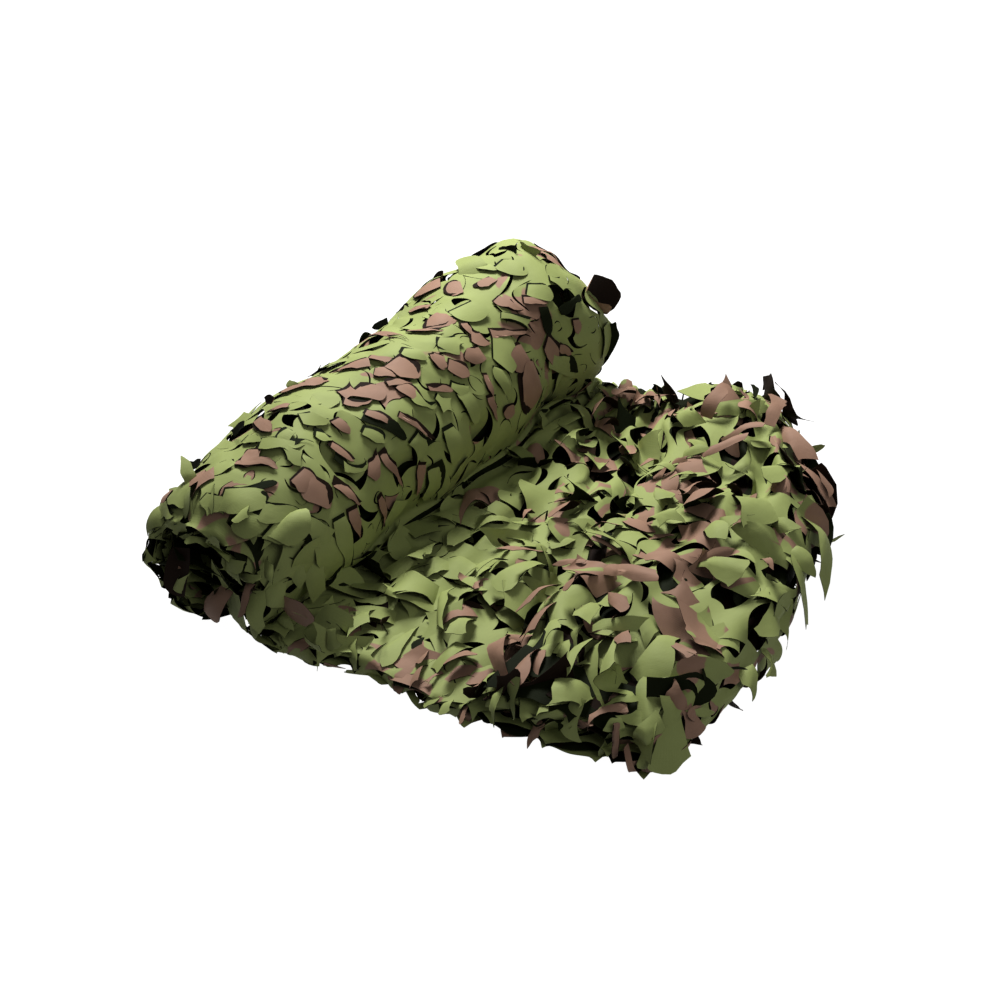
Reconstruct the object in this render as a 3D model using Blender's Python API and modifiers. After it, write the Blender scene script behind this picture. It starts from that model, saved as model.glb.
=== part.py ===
"""A camouflage net put away: rolled up, with its loose end run out and folded back over itself.

The cloth is cut all over into leaves that stand up from it. The wound roll, the tail that leaves it
from below and the tail's folded end are one solid. Metres, +Z up, +Y along the roll, +X towards the
loose end, with the origin on the ground under the middle of the roll.
"""

import math
import random

import bmesh
import bpy
from mathutils import Matrix, Vector
from mathutils.geometry import delaunay_2d_cdt

# One row for each cross section, square to the roll's axis:
# place along the roll, middle and half width of the roll, its height, end of the tail,
# thickness of the tail, top of the part folded back, and where that part ends
COLUMNS = ("along", "middle", "half_width", "height", "tail_end", "tail_thick", "fold_top", "free_end")
SECTIONS = (
    (-0.312, 0.000, 0.083, 0.120, 0.530, 0.024, 0.054, 0.350),
    (-0.280, 0.000, 0.097, 0.148, 0.546, 0.028, 0.066, 0.335),
    (-0.150, 0.000, 0.106, 0.172, 0.550, 0.032, 0.080, 0.310),
    (0.000, 0.000, 0.106, 0.180, 0.534, 0.036, 0.088, 0.290),
    (0.120, 0.000, 0.107, 0.186, 0.498, 0.036, 0.094, 0.268),
    (0.240, -0.004, 0.108, 0.204, 0.432, 0.036, 0.094, 0.240),
    (0.310, -0.006, 0.104, 0.198, 0.368, 0.034, 0.086, 0.225),
    (0.345, -0.006, 0.092, 0.176, 0.332, 0.028, 0.068, 0.220),
)
SETTLE = 0.002  # the roll rests on a flat spot where it would reach this far into the ground
LAYER_GAP = 0.004  # between the tail and the part folded back on it
LIP_SHARE = 0.62  # the folded part's thickness at its free edge, as a share of that at its bend
END_CHAMFER = 0.006  # how far the section draws in at each end of the roll
END_ROW = 0.008  # along the roll from the rim to where that starts
FREE_EDGE_WAVE = (0.009, 0.135)  # amplitude and wavelength of the folded part's free edge

# Leaves cut in the cloth and lifted from it
LEAF_PITCH = 0.053
LEAF_JITTER = 0.004
LEAF_RADIUS = 0.0165
LEAF_STRETCH = 0.0025
LEAF_SPAN = math.radians(112)  # each way round from the leaf's tip
LEAF_POINTS = 6
LEAF_LIFT = 0.0085
LEAF_DROP = -0.0015  # the cloth just outside a leaf lies lower
LEAF_WALL = 0.002  # from a leaf's lip to the cloth below it, seen from above
LEAF_MARGIN = 0.025  # kept clear at the ends of the roll
LEAF_ROUND_TO_FLAT = 0.92  # 1 brings a leaf's lip down to the cloth at both ends of its cut
# Room kept round a leaf's middle, in leaf radii with their wall
ROOM_AT_NIP = 1.6
ROOM_AT_GROUND = 2.0
ROOM_AT_BEND = 1.7
ROOM_AT_LIP = 0.5
ROOM_AT_FREE_EDGE = 1.15
SEED = 7

# Hollows and swells in the cloth's upper faces: x, y, reach along x and y, lift
DENT_COLUMNS = ("x", "y", "reach_x", "reach_y", "lift")
DENTS = (
    (0.385, 0.150, 0.050, 0.070, -0.016),
    (0.480, -0.205, 0.035, 0.060, -0.014),
    (0.420, -0.060, 0.030, 0.110, 0.008),
    (0.345, 0.060, 0.022, 0.120, -0.008),
    (0.200, -0.120, 0.018, 0.130, -0.007),
    (0.240, -0.010, 0.020, 0.150, 0.008),
    (0.170, 0.120, 0.018, 0.090, 0.006),
    (0.330, 0.280, 0.040, 0.040, 0.006),
    (0.020, -0.080, 0.060, 0.120, 0.005),
    (-0.040, 0.090, 0.050, 0.100, -0.005),
)

# Slow waves through the whole net: amplitude, wavelength
WAVES_ALONG = ((0.0035, 0.31), (0.0030, 0.17))
WAVES_ACROSS = ((0.003, 0.27), (0.002, 0.19))
WAVES_UP = ((0.0030, 0.23), (0.0025, 0.15))
WAVE_PHASE = 1.7  # between one wave of a set and the next
WAVE_LEAN = 0.45  # how far the waves move along for each metre up
STEADY_HEIGHT = 0.05  # below this the waves die out towards the ground

# Uneven cut edges at the two ends of the roll
TIP_REACH = 0.012
TIP_LEAST = 0.3  # the shortest tip, as a share of that
EDGE_WAVE = 0.006
EDGE_WAVELENGTH = 0.062
EDGE_RUN = 0.110
EDGE_SWIRL = 2.1  # how far the uneven edge winds about as it goes up
EDGE_RISE = 0.7  # its waves up the end, for each one across
EDGE_COLUMNS = ("x", "near_out", "far_out")  # how far each end stands out, across the net
EDGES = (
    (-0.10, 0.000, 0.000),
    (0.10, 0.010, 0.008),
    (0.20, -0.008, 0.018),
    (0.30, 0.010, 0.012),
    (0.39, 0.010, 0.000),
    (0.46, -0.010, 0.000),
    (0.54, -0.022, 0.000),
)

# Point spacing on the skin
COARSE = 0.046
FINE = 0.025
BEND_PITCH = 0.018
LIP_PITCH = 0.012
CAP_PITCH = 0.021
CAP_CLEAR = 0.4  # the closest that a cap's own points come to its rim, in pitches
CLEAR_OF_LEAF = 0.0105
FREE_EDGE_SHADE = 0.035  # the tail's hollows die out this far before it passes under the folded part
FACE_EDGE = 0.02  # over this the hollows and swells start at the edge of an upper face
ROLL_SIDE = 0.1  # hollows at less than this x are the roll's
SLOPE_STEP = 0.002
MERGE = 0.00002
SAME_PLACE = 1e-6

# The main turns that show at the ends of the roll, and the mouth that gapes at the near end
TURNS = 2.6
TURN_STEPS = 22  # for one turn
TURN_START = 1.04  # the groove starts this far out, in radii, so that it opens at the nip
TURN_ENTRY = 0.16  # and is on its own path after this much of a turn
TURN_GROOVE = 0.0035
TURN_DEPTH = 0.028
CORE_SHARE = 0.22
MOUTH_SIZE = (0.052, 0.055, 0.017)
MOUTH_PLACE = (-0.004, -0.312, 0.088)

GREEN = (0.291, 0.365, 0.136, 1.0)
ROUGHNESS = 0.72

NEAR, FAR = SECTIONS[0][0], SECTIONS[-1][0]


def clear_scene():
    for thing in list(bpy.data.objects):
        bpy.data.objects.remove(thing, do_unlink=True)


def smoothstep(value):
    value = min(max(value, 0.0), 1.0)
    return value * value * (3 - 2 * value)


def mix(first, last, share):
    return first + (last - first) * share


def section_at(along):
    """The section's sizes at one place along the roll, on a smooth curve through the rows."""
    along = min(max(along, NEAR), FAR)
    i = max(k for k in range(len(SECTIONS) - 1) if SECTIONS[k][0] <= along)
    start, end = SECTIONS[i], SECTIONS[i + 1]
    before = SECTIONS[max(i - 1, 0)]
    after = SECTIONS[min(i + 2, len(SECTIONS) - 1)]
    run = end[0] - start[0]
    t = (along - start[0]) / run
    sizes = {}
    for k, name in enumerate(COLUMNS):
        slope_in = (end[k] - before[k]) / (end[0] - before[0]) * run
        slope_out = (after[k] - start[k]) / (after[0] - start[0]) * run
        sizes[name] = (
            (2 * t**3 - 3 * t**2 + 1) * start[k]
            + (t**3 - 2 * t**2 + t) * slope_in
            + (3 * t**2 - 2 * t**3) * end[k]
            + (t**3 - t**2) * slope_out
        )
    size, length = FREE_EDGE_WAVE
    sizes["free_end"] += size * math.sin(2 * math.pi * along / length)
    return sizes


def outline_parts(along):
    """The section as (name, length, point at a share of it) in order, from the nip round the roll."""
    size = section_at(along)
    middle, wide, half = size["middle"], size["half_width"], size["height"] / 2
    thick, top = size["tail_thick"], size["fold_top"]
    bend = top / 2
    lip = LIP_SHARE * (top - thick - LAYER_GAP) / 2
    lip_top = thick + LAYER_GAP + 2 * lip
    turn_x = size["tail_end"] - bend
    lip_x = size["free_end"] + lip
    centre_z = half - SETTLE
    nip = -math.asin((centre_z - thick) / half)
    nip_x = middle + wide * math.cos(nip)
    rest = 1.5 * math.pi - math.acos(centre_z / half)
    rest_x = middle + wide * math.cos(rest)

    def arc(cx, cz, rx, rz, start, end):
        return lambda f: (
            cx + rx * math.cos(mix(start, end, f)),
            cz + rz * math.sin(mix(start, end, f)),
        )

    def line(x0, z0, x1, z1, fall=1):
        return lambda f: (mix(x0, x1, f), mix(z0, z1, f**fall))

    under = -math.pi / 2
    round_roll = (rest - nip) * math.sqrt((wide**2 + half**2) / 2)
    return (
        ("roll", round_roll, arc(middle, centre_z, wide, half, nip, rest)),
        ("ground", turn_x - rest_x, line(rest_x, 0, turn_x, 0)),
        ("fold", math.pi * bend, arc(turn_x, bend, bend, bend, under, -under)),
        ("upper", turn_x - lip_x, line(turn_x, top, lip_x, lip_top, 2)),
        ("lip", math.pi * lip, arc(lip_x, lip_top - lip, lip, lip, -under, -3 * under)),
        ("upper_below", turn_x - lip_x, line(lip_x, thick + LAYER_GAP, turn_x, thick + LAYER_GAP)),
        ("slot_end", LAYER_GAP, line(turn_x, thick + LAYER_GAP, turn_x, thick)),
        ("lower", turn_x - nip_x, line(turn_x, thick, nip_x, thick)),
    )


def flat_pieces():
    """Where each part of the section starts and ends on the net laid flat, from the middle section."""
    pieces = {}
    start = 0.0
    for name, length, _ in outline_parts(0.0):
        pieces[name] = (start, start + length)
        start += length
    return pieces


PIECES = flat_pieces()
ROUND = PIECES["lower"][1]


def outline_point(across, along):
    across %= ROUND
    for (name, _, point), (start, end) in zip(outline_parts(along), PIECES.values()):
        if across <= end:
            break
    return Vector(point((across - start) / (end - start)))


def outward(across, along):
    """Unit vector out of the solid, within the section."""
    tangent = outline_point(across + SLOPE_STEP, along) - outline_point(across - SLOPE_STEP, along)
    return Vector((tangent.y, -tangent.x)).normalized()


def well_inside(across, name):
    """1 on one part of the section, falling to 0 at both its edges."""
    start, end = PIECES[name]
    return smoothstep((across - start) / FACE_EDGE) * smoothstep((end - across) / FACE_EDGE)


def dent(across, x, along):
    """How far the hollows and swells lift the skin here."""
    weight = max(well_inside(across, name) for name in ("roll", "fold", "upper", "lower"))
    if PIECES["lower"][0] <= across:
        weight *= smoothstep((section_at(along)["free_end"] - x) / FREE_EDGE_SHADE)
    lift = 0.0
    for row in DENTS:
        place = dict(zip(DENT_COLUMNS, row))
        on_roll = place["x"] < ROLL_SIDE
        if on_roll != (across < PIECES["ground"][0]):
            continue
        away = ((x - place["x"]) / place["reach_x"]) ** 2 + ((along - place["y"]) / place["reach_y"]) ** 2
        lift += place["lift"] * math.exp(-away)
    return weight * lift


def chamfer(along):
    from_end = min(along - NEAR, FAR - along)
    return END_CHAMFER * (1 - min(from_end / END_ROW, 1.0))


def wave(terms, place):
    return sum(
        size * math.sin(2 * math.pi * place / length + WAVE_PHASE * k)
        for k, (size, length) in enumerate(terms)
    )


def stands_out(x, column):
    """How far one end of the net stands out at this place across it."""
    k = EDGE_COLUMNS.index(column)
    for start, end in zip(EDGES, EDGES[1:]):
        if x < end[0]:
            break
    return mix(start[k], end[k], smoothstep((x - start[0]) / (end[0] - start[0])))


def crumple(point):
    """Slow waves and uneven ends, with the ground left flat."""
    x, y, z = point
    steady = smoothstep(z / STEADY_HEIGHT)
    near_share = smoothstep((NEAR + EDGE_RUN - y) / EDGE_RUN)
    far_share = smoothstep((y - FAR + EDGE_RUN) / EDGE_RUN)
    turn = 2 * math.pi / EDGE_WAVELENGTH
    swirl = EDGE_SWIRL * math.sin(turn * z / 2)
    uneven = EDGE_WAVE * math.sin(turn * x + swirl) * math.cos(turn * z * EDGE_RISE)
    near = near_share * (uneven + stands_out(x, "near_out"))
    far = far_share * (uneven + stands_out(x, "far_out"))
    return Vector((
        x + wave(WAVES_ALONG, y + WAVE_LEAN * z) * steady,
        y + far - near + wave(WAVES_ACROSS, x + WAVE_LEAN * z),
        z + wave(WAVES_UP, x + y) * steady,
    ))


def skin_point(across, along, lift):
    place = outline_point(across, along)
    out = outward(across, along)
    lift += dent(across, place.x, along) - chamfer(along)
    place += out * lift
    return Vector((place.x, along, max(place.y, 0.0)))


def leaf_zone(across, along):
    """True where a leaf has room to stand up."""
    room = LEAF_RADIUS + LEAF_WALL
    x = outline_point(across, along).x
    if across < PIECES["ground"][0]:
        return ROOM_AT_NIP * room < across < PIECES["ground"][0] - ROOM_AT_GROUND * room
    if PIECES["fold"][0] <= across <= PIECES["upper"][1]:
        return PIECES["fold"][0] + ROOM_AT_BEND * room < across < PIECES["upper"][1] - ROOM_AT_LIP * room
    if across >= PIECES["lower"][0]:
        under_fold = x > section_at(along)["free_end"] - ROOM_AT_FREE_EDGE * room
        return not under_fold and across < ROUND - ROOM_AT_NIP * room
    return False


def leaf_centres(rng):
    """An uneven three-way lattice over the visible cloth."""
    row_pitch = LEAF_PITCH * math.sqrt(3) / 2
    rows = int((FAR - NEAR - 2 * LEAF_MARGIN) / row_pitch)
    for row in range(rows + 1):
        along = NEAR + LEAF_MARGIN + row * (FAR - NEAR - 2 * LEAF_MARGIN) / rows
        across = LEAF_PITCH / 2 * (row % 2)
        while across < ROUND:
            shift = Vector((rng.uniform(-1, 1), rng.uniform(-1, 1) / 2)) * LEAF_JITTER
            spot = Vector((across, along)) + shift
            turn = rng.uniform(0, 2 * math.pi)
            if leaf_zone(spot.x, spot.y):
                yield spot, turn
            across += LEAF_PITCH


def leaf_lines(centre, turn, rng):
    """The leaf's lip and the line just outside it, as flat points with their lift."""
    lip, below = [], []
    stretch = rng.uniform(-1, 1) * LEAF_STRETCH
    for k in range(LEAF_POINTS):
        angle = LEAF_SPAN * (2 * k / (LEAF_POINTS - 1) - 1)
        lift = LEAF_LIFT * math.cos(angle / LEAF_SPAN * math.pi / 2 * LEAF_ROUND_TO_FLAT)
        for points, radius, height in ((lip, LEAF_RADIUS, lift), (below, LEAF_RADIUS + LEAF_WALL, LEAF_DROP)):
            arm = Vector(((radius + stretch) * math.cos(angle), (radius - stretch) * math.sin(angle)))
            points.append((centre + Matrix.Rotation(turn, 2) @ arm, height))
    return lip, below


def spaced(start, end, pitch):
    count = max(1, round((end - start) / pitch))
    return [mix(start, end, k / count) for k in range(count + 1)]


def row_places():
    """Places across the flat net of one row of points, closer together where it bends or shows."""
    pitch = {"roll": FINE, "fold": BEND_PITCH, "upper": FINE, "lip": LIP_PITCH, "lower": FINE}
    places = []
    for name, (start, end) in PIECES.items():
        places += spaced(start, end, pitch.get(name, COARSE))[:-1]
    return places + [ROUND]


def flat_net(rng):
    """Points (flat place, lift) and edges of the net laid flat, with every leaf's lines in it."""
    points, edges = [], []

    def add_line(line):
        first = len(points)
        points.extend(line)
        edges.extend((first + k, first + k + 1) for k in range(len(line) - 1))

    leaves = [leaf_lines(centre, turn, rng) for centre, turn in leaf_centres(rng)]
    for lip, below in leaves:
        first = len(points)
        add_line(lip)
        add_line(below)
        edges.append((first, first + LEAF_POINTS))
        edges.append((first + LEAF_POINTS - 1, first + 2 * LEAF_POINTS - 1))
    taken = [place for place, _ in points]

    ends = (NEAR, NEAR + END_ROW, FAR - END_ROW, FAR)
    for along in ends:
        add_line([(Vector((across, along)), 0.0) for across in row_places()])
    inner = spaced(NEAR + END_ROW, FAR - END_ROW, FINE)[1:-1]
    for edge in (0.0, ROUND):
        for along in inner:
            points.append((Vector((edge, along)), 0.0))
    for row, along in enumerate(inner):
        for across in row_places()[1:-1]:
            hidden = PIECES["ground"][0] < across < PIECES["ground"][1] or (
                PIECES["upper_below"][0] < across < PIECES["slot_end"][0])
            if hidden and row % 2:
                continue
            place = Vector((across, along))
            if all((place - other).length > CLEAR_OF_LEAF for other in taken):
                points.append((place, 0.0))
    return points, edges


def inside(place, outline):
    """True where a point is inside a closed outline."""
    found = False
    for (x0, y0), (x1, y1) in zip(outline, outline[1:] + outline[:1]):
        if (y0 > place[1]) != (y1 > place[1]):
            found ^= place[0] < x0 + (place[1] - y0) / (y1 - y0) * (x1 - x0)
    return found


def add_cap(bm, rim, along):
    """Closes one end of the roll: its rim, with points spread evenly inside."""
    outline = [(vertex.co.x, vertex.co.z) for vertex in rim]
    flat = [Vector(place) for place in outline]
    size = section_at(along)
    row_pitch = CAP_PITCH * math.sqrt(3) / 2
    for row in range(int(size["height"] / row_pitch) + 1):
        x = size["middle"] - size["half_width"] + CAP_PITCH / 2 * (row % 2)
        while x < size["tail_end"]:
            place = Vector((x, (row + 0.5) * row_pitch))
            x += CAP_PITCH
            from_rim = min((place - other).length for other in flat[:len(rim)])
            if inside(place, outline) and from_rim > CAP_PITCH * CAP_CLEAR:
                flat.append(place)
    edges = [(k, (k + 1) % len(rim)) for k in range(len(rim))]
    made, _, faces, origins, _, _ = delaunay_2d_cdt(flat, edges, [list(range(len(rim)))], 1, SAME_PLACE)
    vertices = []
    for place, origin in zip(made, origins):
        if origin and origin[0] < len(rim):
            vertices.append(rim[origin[0]])
        else:
            vertices.append(bm.verts.new((place.x, along, place.y)))
    for face in faces:
        bm.faces.new([vertices[k] for k in face])


def net_body():
    """The loft round the roll and its folded tail, closed at both ends."""
    rng = random.Random(SEED)
    points, edges = flat_net(rng)
    flat = [place for place, _ in points]
    made, _, faces, origins, _, _ = delaunay_2d_cdt(flat, edges, [], 0, SAME_PLACE)
    bm = bmesh.new()
    rims = {NEAR: {}, FAR: {}}
    vertices = []
    for place, origin in zip(made, origins):
        lift = points[origin[0]][1] if origin else 0.0
        vertex = bm.verts.new(skin_point(place.x, place.y, lift))
        vertices.append(vertex)
        for along, rim in rims.items():
            if abs(place.y - along) < SAME_PLACE and place.x < ROUND - SAME_PLACE:
                rim[place.x] = vertex
    for face in faces:
        bm.faces.new([vertices[k] for k in face])
    for along, rim in rims.items():
        add_cap(bm, [rim[across] for across in sorted(rim)], along)
    bmesh.ops.remove_doubles(bm, verts=bm.verts, dist=MERGE)
    for along, rim in rims.items():
        side = 1 if along == FAR else -1
        for k, across in enumerate(sorted(rim)):
            vertex = rim[across]
            if vertex.is_valid and vertex.co.z > SETTLE and k % 2:
                vertex.co.y += side * rng.uniform(TIP_LEAST, 1.0) * TIP_REACH
    for vertex in bm.verts:
        vertex.co = crumple(vertex.co)
    bmesh.ops.recalc_face_normals(bm, faces=bm.faces)
    mesh = bpy.data.meshes.new("camouflage_net")
    bm.to_mesh(mesh)
    bm.free()
    return mesh


def cloth_material():
    material = bpy.data.materials.new("cut_leaf_cloth")
    material.use_nodes = True
    shader = material.node_tree.nodes["Principled BSDF"]
    shader.inputs["Base Color"].default_value = GREEN
    shader.inputs["Roughness"].default_value = ROUGHNESS
    shader.inputs["Metallic"].default_value = 0.0
    return material


def turn_line(along):
    """The line between the turns in one end: in from the nip, under the roll and round towards its core."""
    size = section_at(along)
    half = size["height"] / 2
    start = -math.asin((half - size["tail_thick"]) / half)
    first_share = (half - size["tail_thick"]) / half
    points = []
    steps = int(TURNS * TURN_STEPS)
    for k in range(steps + 1):
        turned = k / TURN_STEPS
        share = mix(first_share, CORE_SHARE, turned / TURNS)
        share = mix(TURN_START, share, smoothstep(turned / TURN_ENTRY))
        angle = start - 2 * math.pi * turned
        points.append((
            size["middle"] + size["half_width"] * share * math.cos(angle),
            half + half * share * math.sin(angle),
        ))
    return points


def turn_cutter(name, along, collection):
    """A spiral blade that stands in one end of the roll."""
    curve = bpy.data.curves.new(name, "CURVE")
    curve.dimensions = "3D"
    curve.extrude = TURN_DEPTH
    line = turn_line(along)
    spline = curve.splines.new("POLY")
    spline.points.add(len(line) - 1)
    for point, (x, z) in zip(spline.points, line):
        point.co = (x, z, 0.0, 1.0)
    guide = bpy.data.objects.new(name + "_guide", curve)
    guide.rotation_euler.x = math.pi / 2
    guide.location.y = along
    collection.objects.link(guide)
    bpy.context.view_layer.update()
    evaluated = guide.evaluated_get(bpy.context.evaluated_depsgraph_get())
    cutter = bpy.data.objects.new(name, bpy.data.meshes.new_from_object(evaluated))
    cutter.matrix_world = guide.matrix_world
    bpy.data.objects.remove(guide, do_unlink=True)
    blade = cutter.modifiers.new("blade", "SOLIDIFY")
    blade.thickness = TURN_GROOVE
    blade.offset = 0.0
    collection.objects.link(cutter)
    return cutter


def mouth_cutter(collection):
    """The flattened mouth where the core gapes at the near end."""
    mesh = bpy.data.meshes.new("mouth")
    bm = bmesh.new()
    size = Matrix.Diagonal((*MOUTH_SIZE, 1.0))
    bmesh.ops.create_uvsphere(bm, u_segments=14, v_segments=8, radius=1.0, matrix=size)
    bm.to_mesh(mesh)
    bm.free()
    cutter = bpy.data.objects.new("mouth", mesh)
    cutter.location = MOUTH_PLACE
    collection.objects.link(cutter)
    return cutter


def main():
    clear_scene()
    parts = bpy.data.collections.new("camouflage net")
    cutters = bpy.data.collections.new("cutters")
    for collection in (parts, cutters):
        bpy.context.scene.collection.children.link(collection)
    net = bpy.data.objects.new("camouflage_net", net_body())
    net.data.materials.append(cloth_material())
    parts.objects.link(net)
    near_turns = turn_cutter("near_turns", NEAR, cutters)
    far_turns = turn_cutter("far_turns", FAR, cutters)
    for cutter in (near_turns, far_turns, mouth_cutter(cutters)):
        cutter.hide_render = True
        cutter.display_type = "WIRE"
        cut = net.modifiers.new(cutter.name, "BOOLEAN")
        cut.operation = "DIFFERENCE"
        cut.solver = "EXACT"
        cut.object = cutter


main()
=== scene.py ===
import math

import bpy
import numpy as np
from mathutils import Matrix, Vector
from mathutils.geometry import delaunay_2d_cdt


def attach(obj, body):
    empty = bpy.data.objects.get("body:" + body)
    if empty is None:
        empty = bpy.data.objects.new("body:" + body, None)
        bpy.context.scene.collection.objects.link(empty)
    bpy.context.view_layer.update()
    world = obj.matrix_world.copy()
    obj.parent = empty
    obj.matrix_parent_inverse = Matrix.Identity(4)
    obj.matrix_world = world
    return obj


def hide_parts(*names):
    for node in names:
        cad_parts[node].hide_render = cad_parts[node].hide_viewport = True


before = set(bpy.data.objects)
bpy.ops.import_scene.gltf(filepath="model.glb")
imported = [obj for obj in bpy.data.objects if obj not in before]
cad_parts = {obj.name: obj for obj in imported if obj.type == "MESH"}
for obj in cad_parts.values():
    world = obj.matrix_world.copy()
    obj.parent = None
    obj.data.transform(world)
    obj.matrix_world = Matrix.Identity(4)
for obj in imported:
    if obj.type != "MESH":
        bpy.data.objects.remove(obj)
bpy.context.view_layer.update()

print("frame loaded")


# The form the net lies in: sections square to the roll, in metres, the same as the solid's.
sectionNames = ("along", "middle", "halfWidth", "height", "tailEnd", "tailThick", "foldTop", "freeEnd")
sections = np.array((
    (-0.312, 0.000, 0.083, 0.120, 0.530, 0.024, 0.054, 0.350),
    (-0.280, 0.000, 0.097, 0.148, 0.546, 0.028, 0.066, 0.335),
    (-0.150, 0.000, 0.106, 0.172, 0.550, 0.032, 0.080, 0.310),
    (0.000, 0.000, 0.106, 0.180, 0.534, 0.036, 0.088, 0.290),
    (0.120, 0.000, 0.107, 0.186, 0.498, 0.036, 0.094, 0.268),
    (0.240, -0.004, 0.108, 0.204, 0.432, 0.036, 0.094, 0.240),
    (0.310, -0.006, 0.104, 0.198, 0.368, 0.034, 0.086, 0.225),
    (0.345, -0.006, 0.092, 0.176, 0.332, 0.028, 0.068, 0.220),
))
near, far = sections[0, 0], sections[-1, 0]

form = {
    "settle": 0.002,  # the roll's flat spot
    "layerGap": 0.004,
    "lipShare": 0.62,
    "freeEdgeWave": (0.009, 0.135),
    "wavesAlong": ((0.0035, 0.31), (0.0030, 0.17)),
    "wavesAcross": ((0.003, 0.27), (0.002, 0.19)),
    "wavesUp": ((0.0030, 0.23), (0.0025, 0.15)),
    "wavePhase": 1.7,
    "waveLean": 0.45,
    "steadyHeight": 0.05,
    "edgeWave": 0.006,
    "edgeWavelength": 0.062,
    "edgeRun": 0.110,
    "edgeSwirl": 2.1,
    "edgeRise": 0.7,
    "rollReach": 0.1,  # dents whose x lies below this are the roll's
    "dentEdge": 0.02,  # length over which a dent fades where parts of the section meet
    "tableStep": (0.004, 0.006),  # spacing of the skin table, across and along
}
# how far each end of the net stands out, across it: x, near end, far end
standOut = np.array((
    (-0.10, 0.000, 0.000),
    (0.10, 0.010, 0.008),
    (0.20, -0.008, 0.018),
    (0.30, 0.010, 0.012),
    (0.39, 0.010, 0.000),
    (0.46, -0.010, 0.000),
    (0.54, -0.022, 0.000),
))
# hollows and swells: x, y, reach across, reach along, lift
dents = (
    (0.385, 0.150, 0.050, 0.070, -0.016),
    (0.480, -0.205, 0.035, 0.060, -0.014),
    (0.420, -0.060, 0.030, 0.110, 0.008),
    (0.345, 0.060, 0.022, 0.120, -0.008),
    (0.200, -0.120, 0.018, 0.130, -0.007),
    (0.240, -0.010, 0.020, 0.150, 0.008),
    (0.170, 0.120, 0.018, 0.090, 0.006),
    (0.330, 0.280, 0.040, 0.040, 0.006),
    (0.020, -0.080, 0.060, 0.120, 0.005),
    (-0.040, 0.090, 0.050, 0.100, -0.005),
)


def smoothstep(value):
    value = np.clip(value, 0.0, 1.0)
    return value * value * (3 - 2 * value)


def mix(first, last, share):
    return first + (last - first) * share


def sectionAt(along):
    # the section's sizes at places along the roll, on a smooth curve through the rows above
    along = np.clip(along, near, far)
    rows = sections[:, 0]
    i = np.clip(np.searchsorted(rows, along, side="right") - 1, 0, len(rows) - 2)
    before, after = np.maximum(i - 1, 0), np.minimum(i + 2, len(rows) - 1)
    run = rows[i + 1] - rows[i]
    t = (along - rows[i]) / run
    sizes = {}
    for k, name in enumerate(sectionNames):
        column = sections[:, k]
        slopeIn = (column[i + 1] - column[before]) / (rows[i + 1] - rows[before]) * run
        slopeOut = (column[after] - column[i]) / (rows[after] - rows[i]) * run
        sizes[name] = ((2 * t**3 - 3 * t**2 + 1) * column[i] + (t**3 - 2 * t**2 + t) * slopeIn
                       + (3 * t**2 - 2 * t**3) * column[i + 1] + (t**3 - t**2) * slopeOut)
    size, length = form["freeEdgeWave"]
    sizes["freeEnd"] = sizes["freeEnd"] + size * np.sin(2 * np.pi * along / length)
    return sizes


def outlineParts(along):
    # the section's parts in order round it: each one's length, and its points for shares from 0 to 1
    size = sectionAt(along)
    middle, wide, half = size["middle"], size["halfWidth"], size["height"] / 2
    thick, top = size["tailThick"], size["foldTop"]
    gap = form["layerGap"]
    bend = top / 2
    lip = form["lipShare"] * (top - thick - gap) / 2
    lipTop = thick + gap + 2 * lip
    turnX = size["tailEnd"] - bend
    lipX = size["freeEnd"] + lip
    centreZ = half - form["settle"]
    nip = -np.arcsin((centreZ - thick) / half)
    nipX = middle + wide * np.cos(nip)
    rest = 1.5 * np.pi - np.arccos(centreZ / half)
    restX = middle + wide * np.cos(rest)
    under = -np.pi / 2

    def arc(cx, cz, rx, rz, start, end):
        return lambda f: (cx + rx * np.cos(mix(start, end, f)), cz + rz * np.sin(mix(start, end, f)))

    def line(x0, z0, x1, z1, fall=1):
        return lambda f: (mix(x0, x1, f), mix(z0, z1, f**fall) + 0 * x0)

    radius = np.sqrt((wide**2 + half**2) / 2)
    return {
        "roll": ((rest - nip) * radius, arc(middle, centreZ, wide, half, nip, rest)),
        "ground": (turnX - restX, line(restX, 0, turnX, 0)),
        "fold": (np.pi * bend, arc(turnX, bend, bend, bend, under, -under)),
        "upper": (turnX - lipX, line(turnX, top, lipX, lipTop, 2)),
        "lip": (np.pi * lip, arc(lipX, lipTop - lip, lip, lip, -under, -3 * under)),
        "upperBelow": (turnX - lipX, line(lipX, thick + gap, turnX, thick + gap)),
        "slotEnd": (gap + 0 * turnX, line(turnX, thick + gap, turnX, thick)),
        "lower": (turnX - nipX, line(turnX, thick, nipX, thick)),
    }


def flatParts():
    parts, start = {}, 0.0
    for name, (length, _) in outlineParts(np.array(0.0)).items():
        parts[name] = (start, start + float(length))
        start += float(length)
    return parts


parts = flatParts()
roundLength = parts["lower"][1]


def wave(terms, place):
    # the sum of a few slow waves, each given by its height and its length
    phase = form["wavePhase"]
    return sum(size * np.sin(2 * np.pi * place / length + phase * k)
               for k, (size, length) in enumerate(terms))


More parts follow.
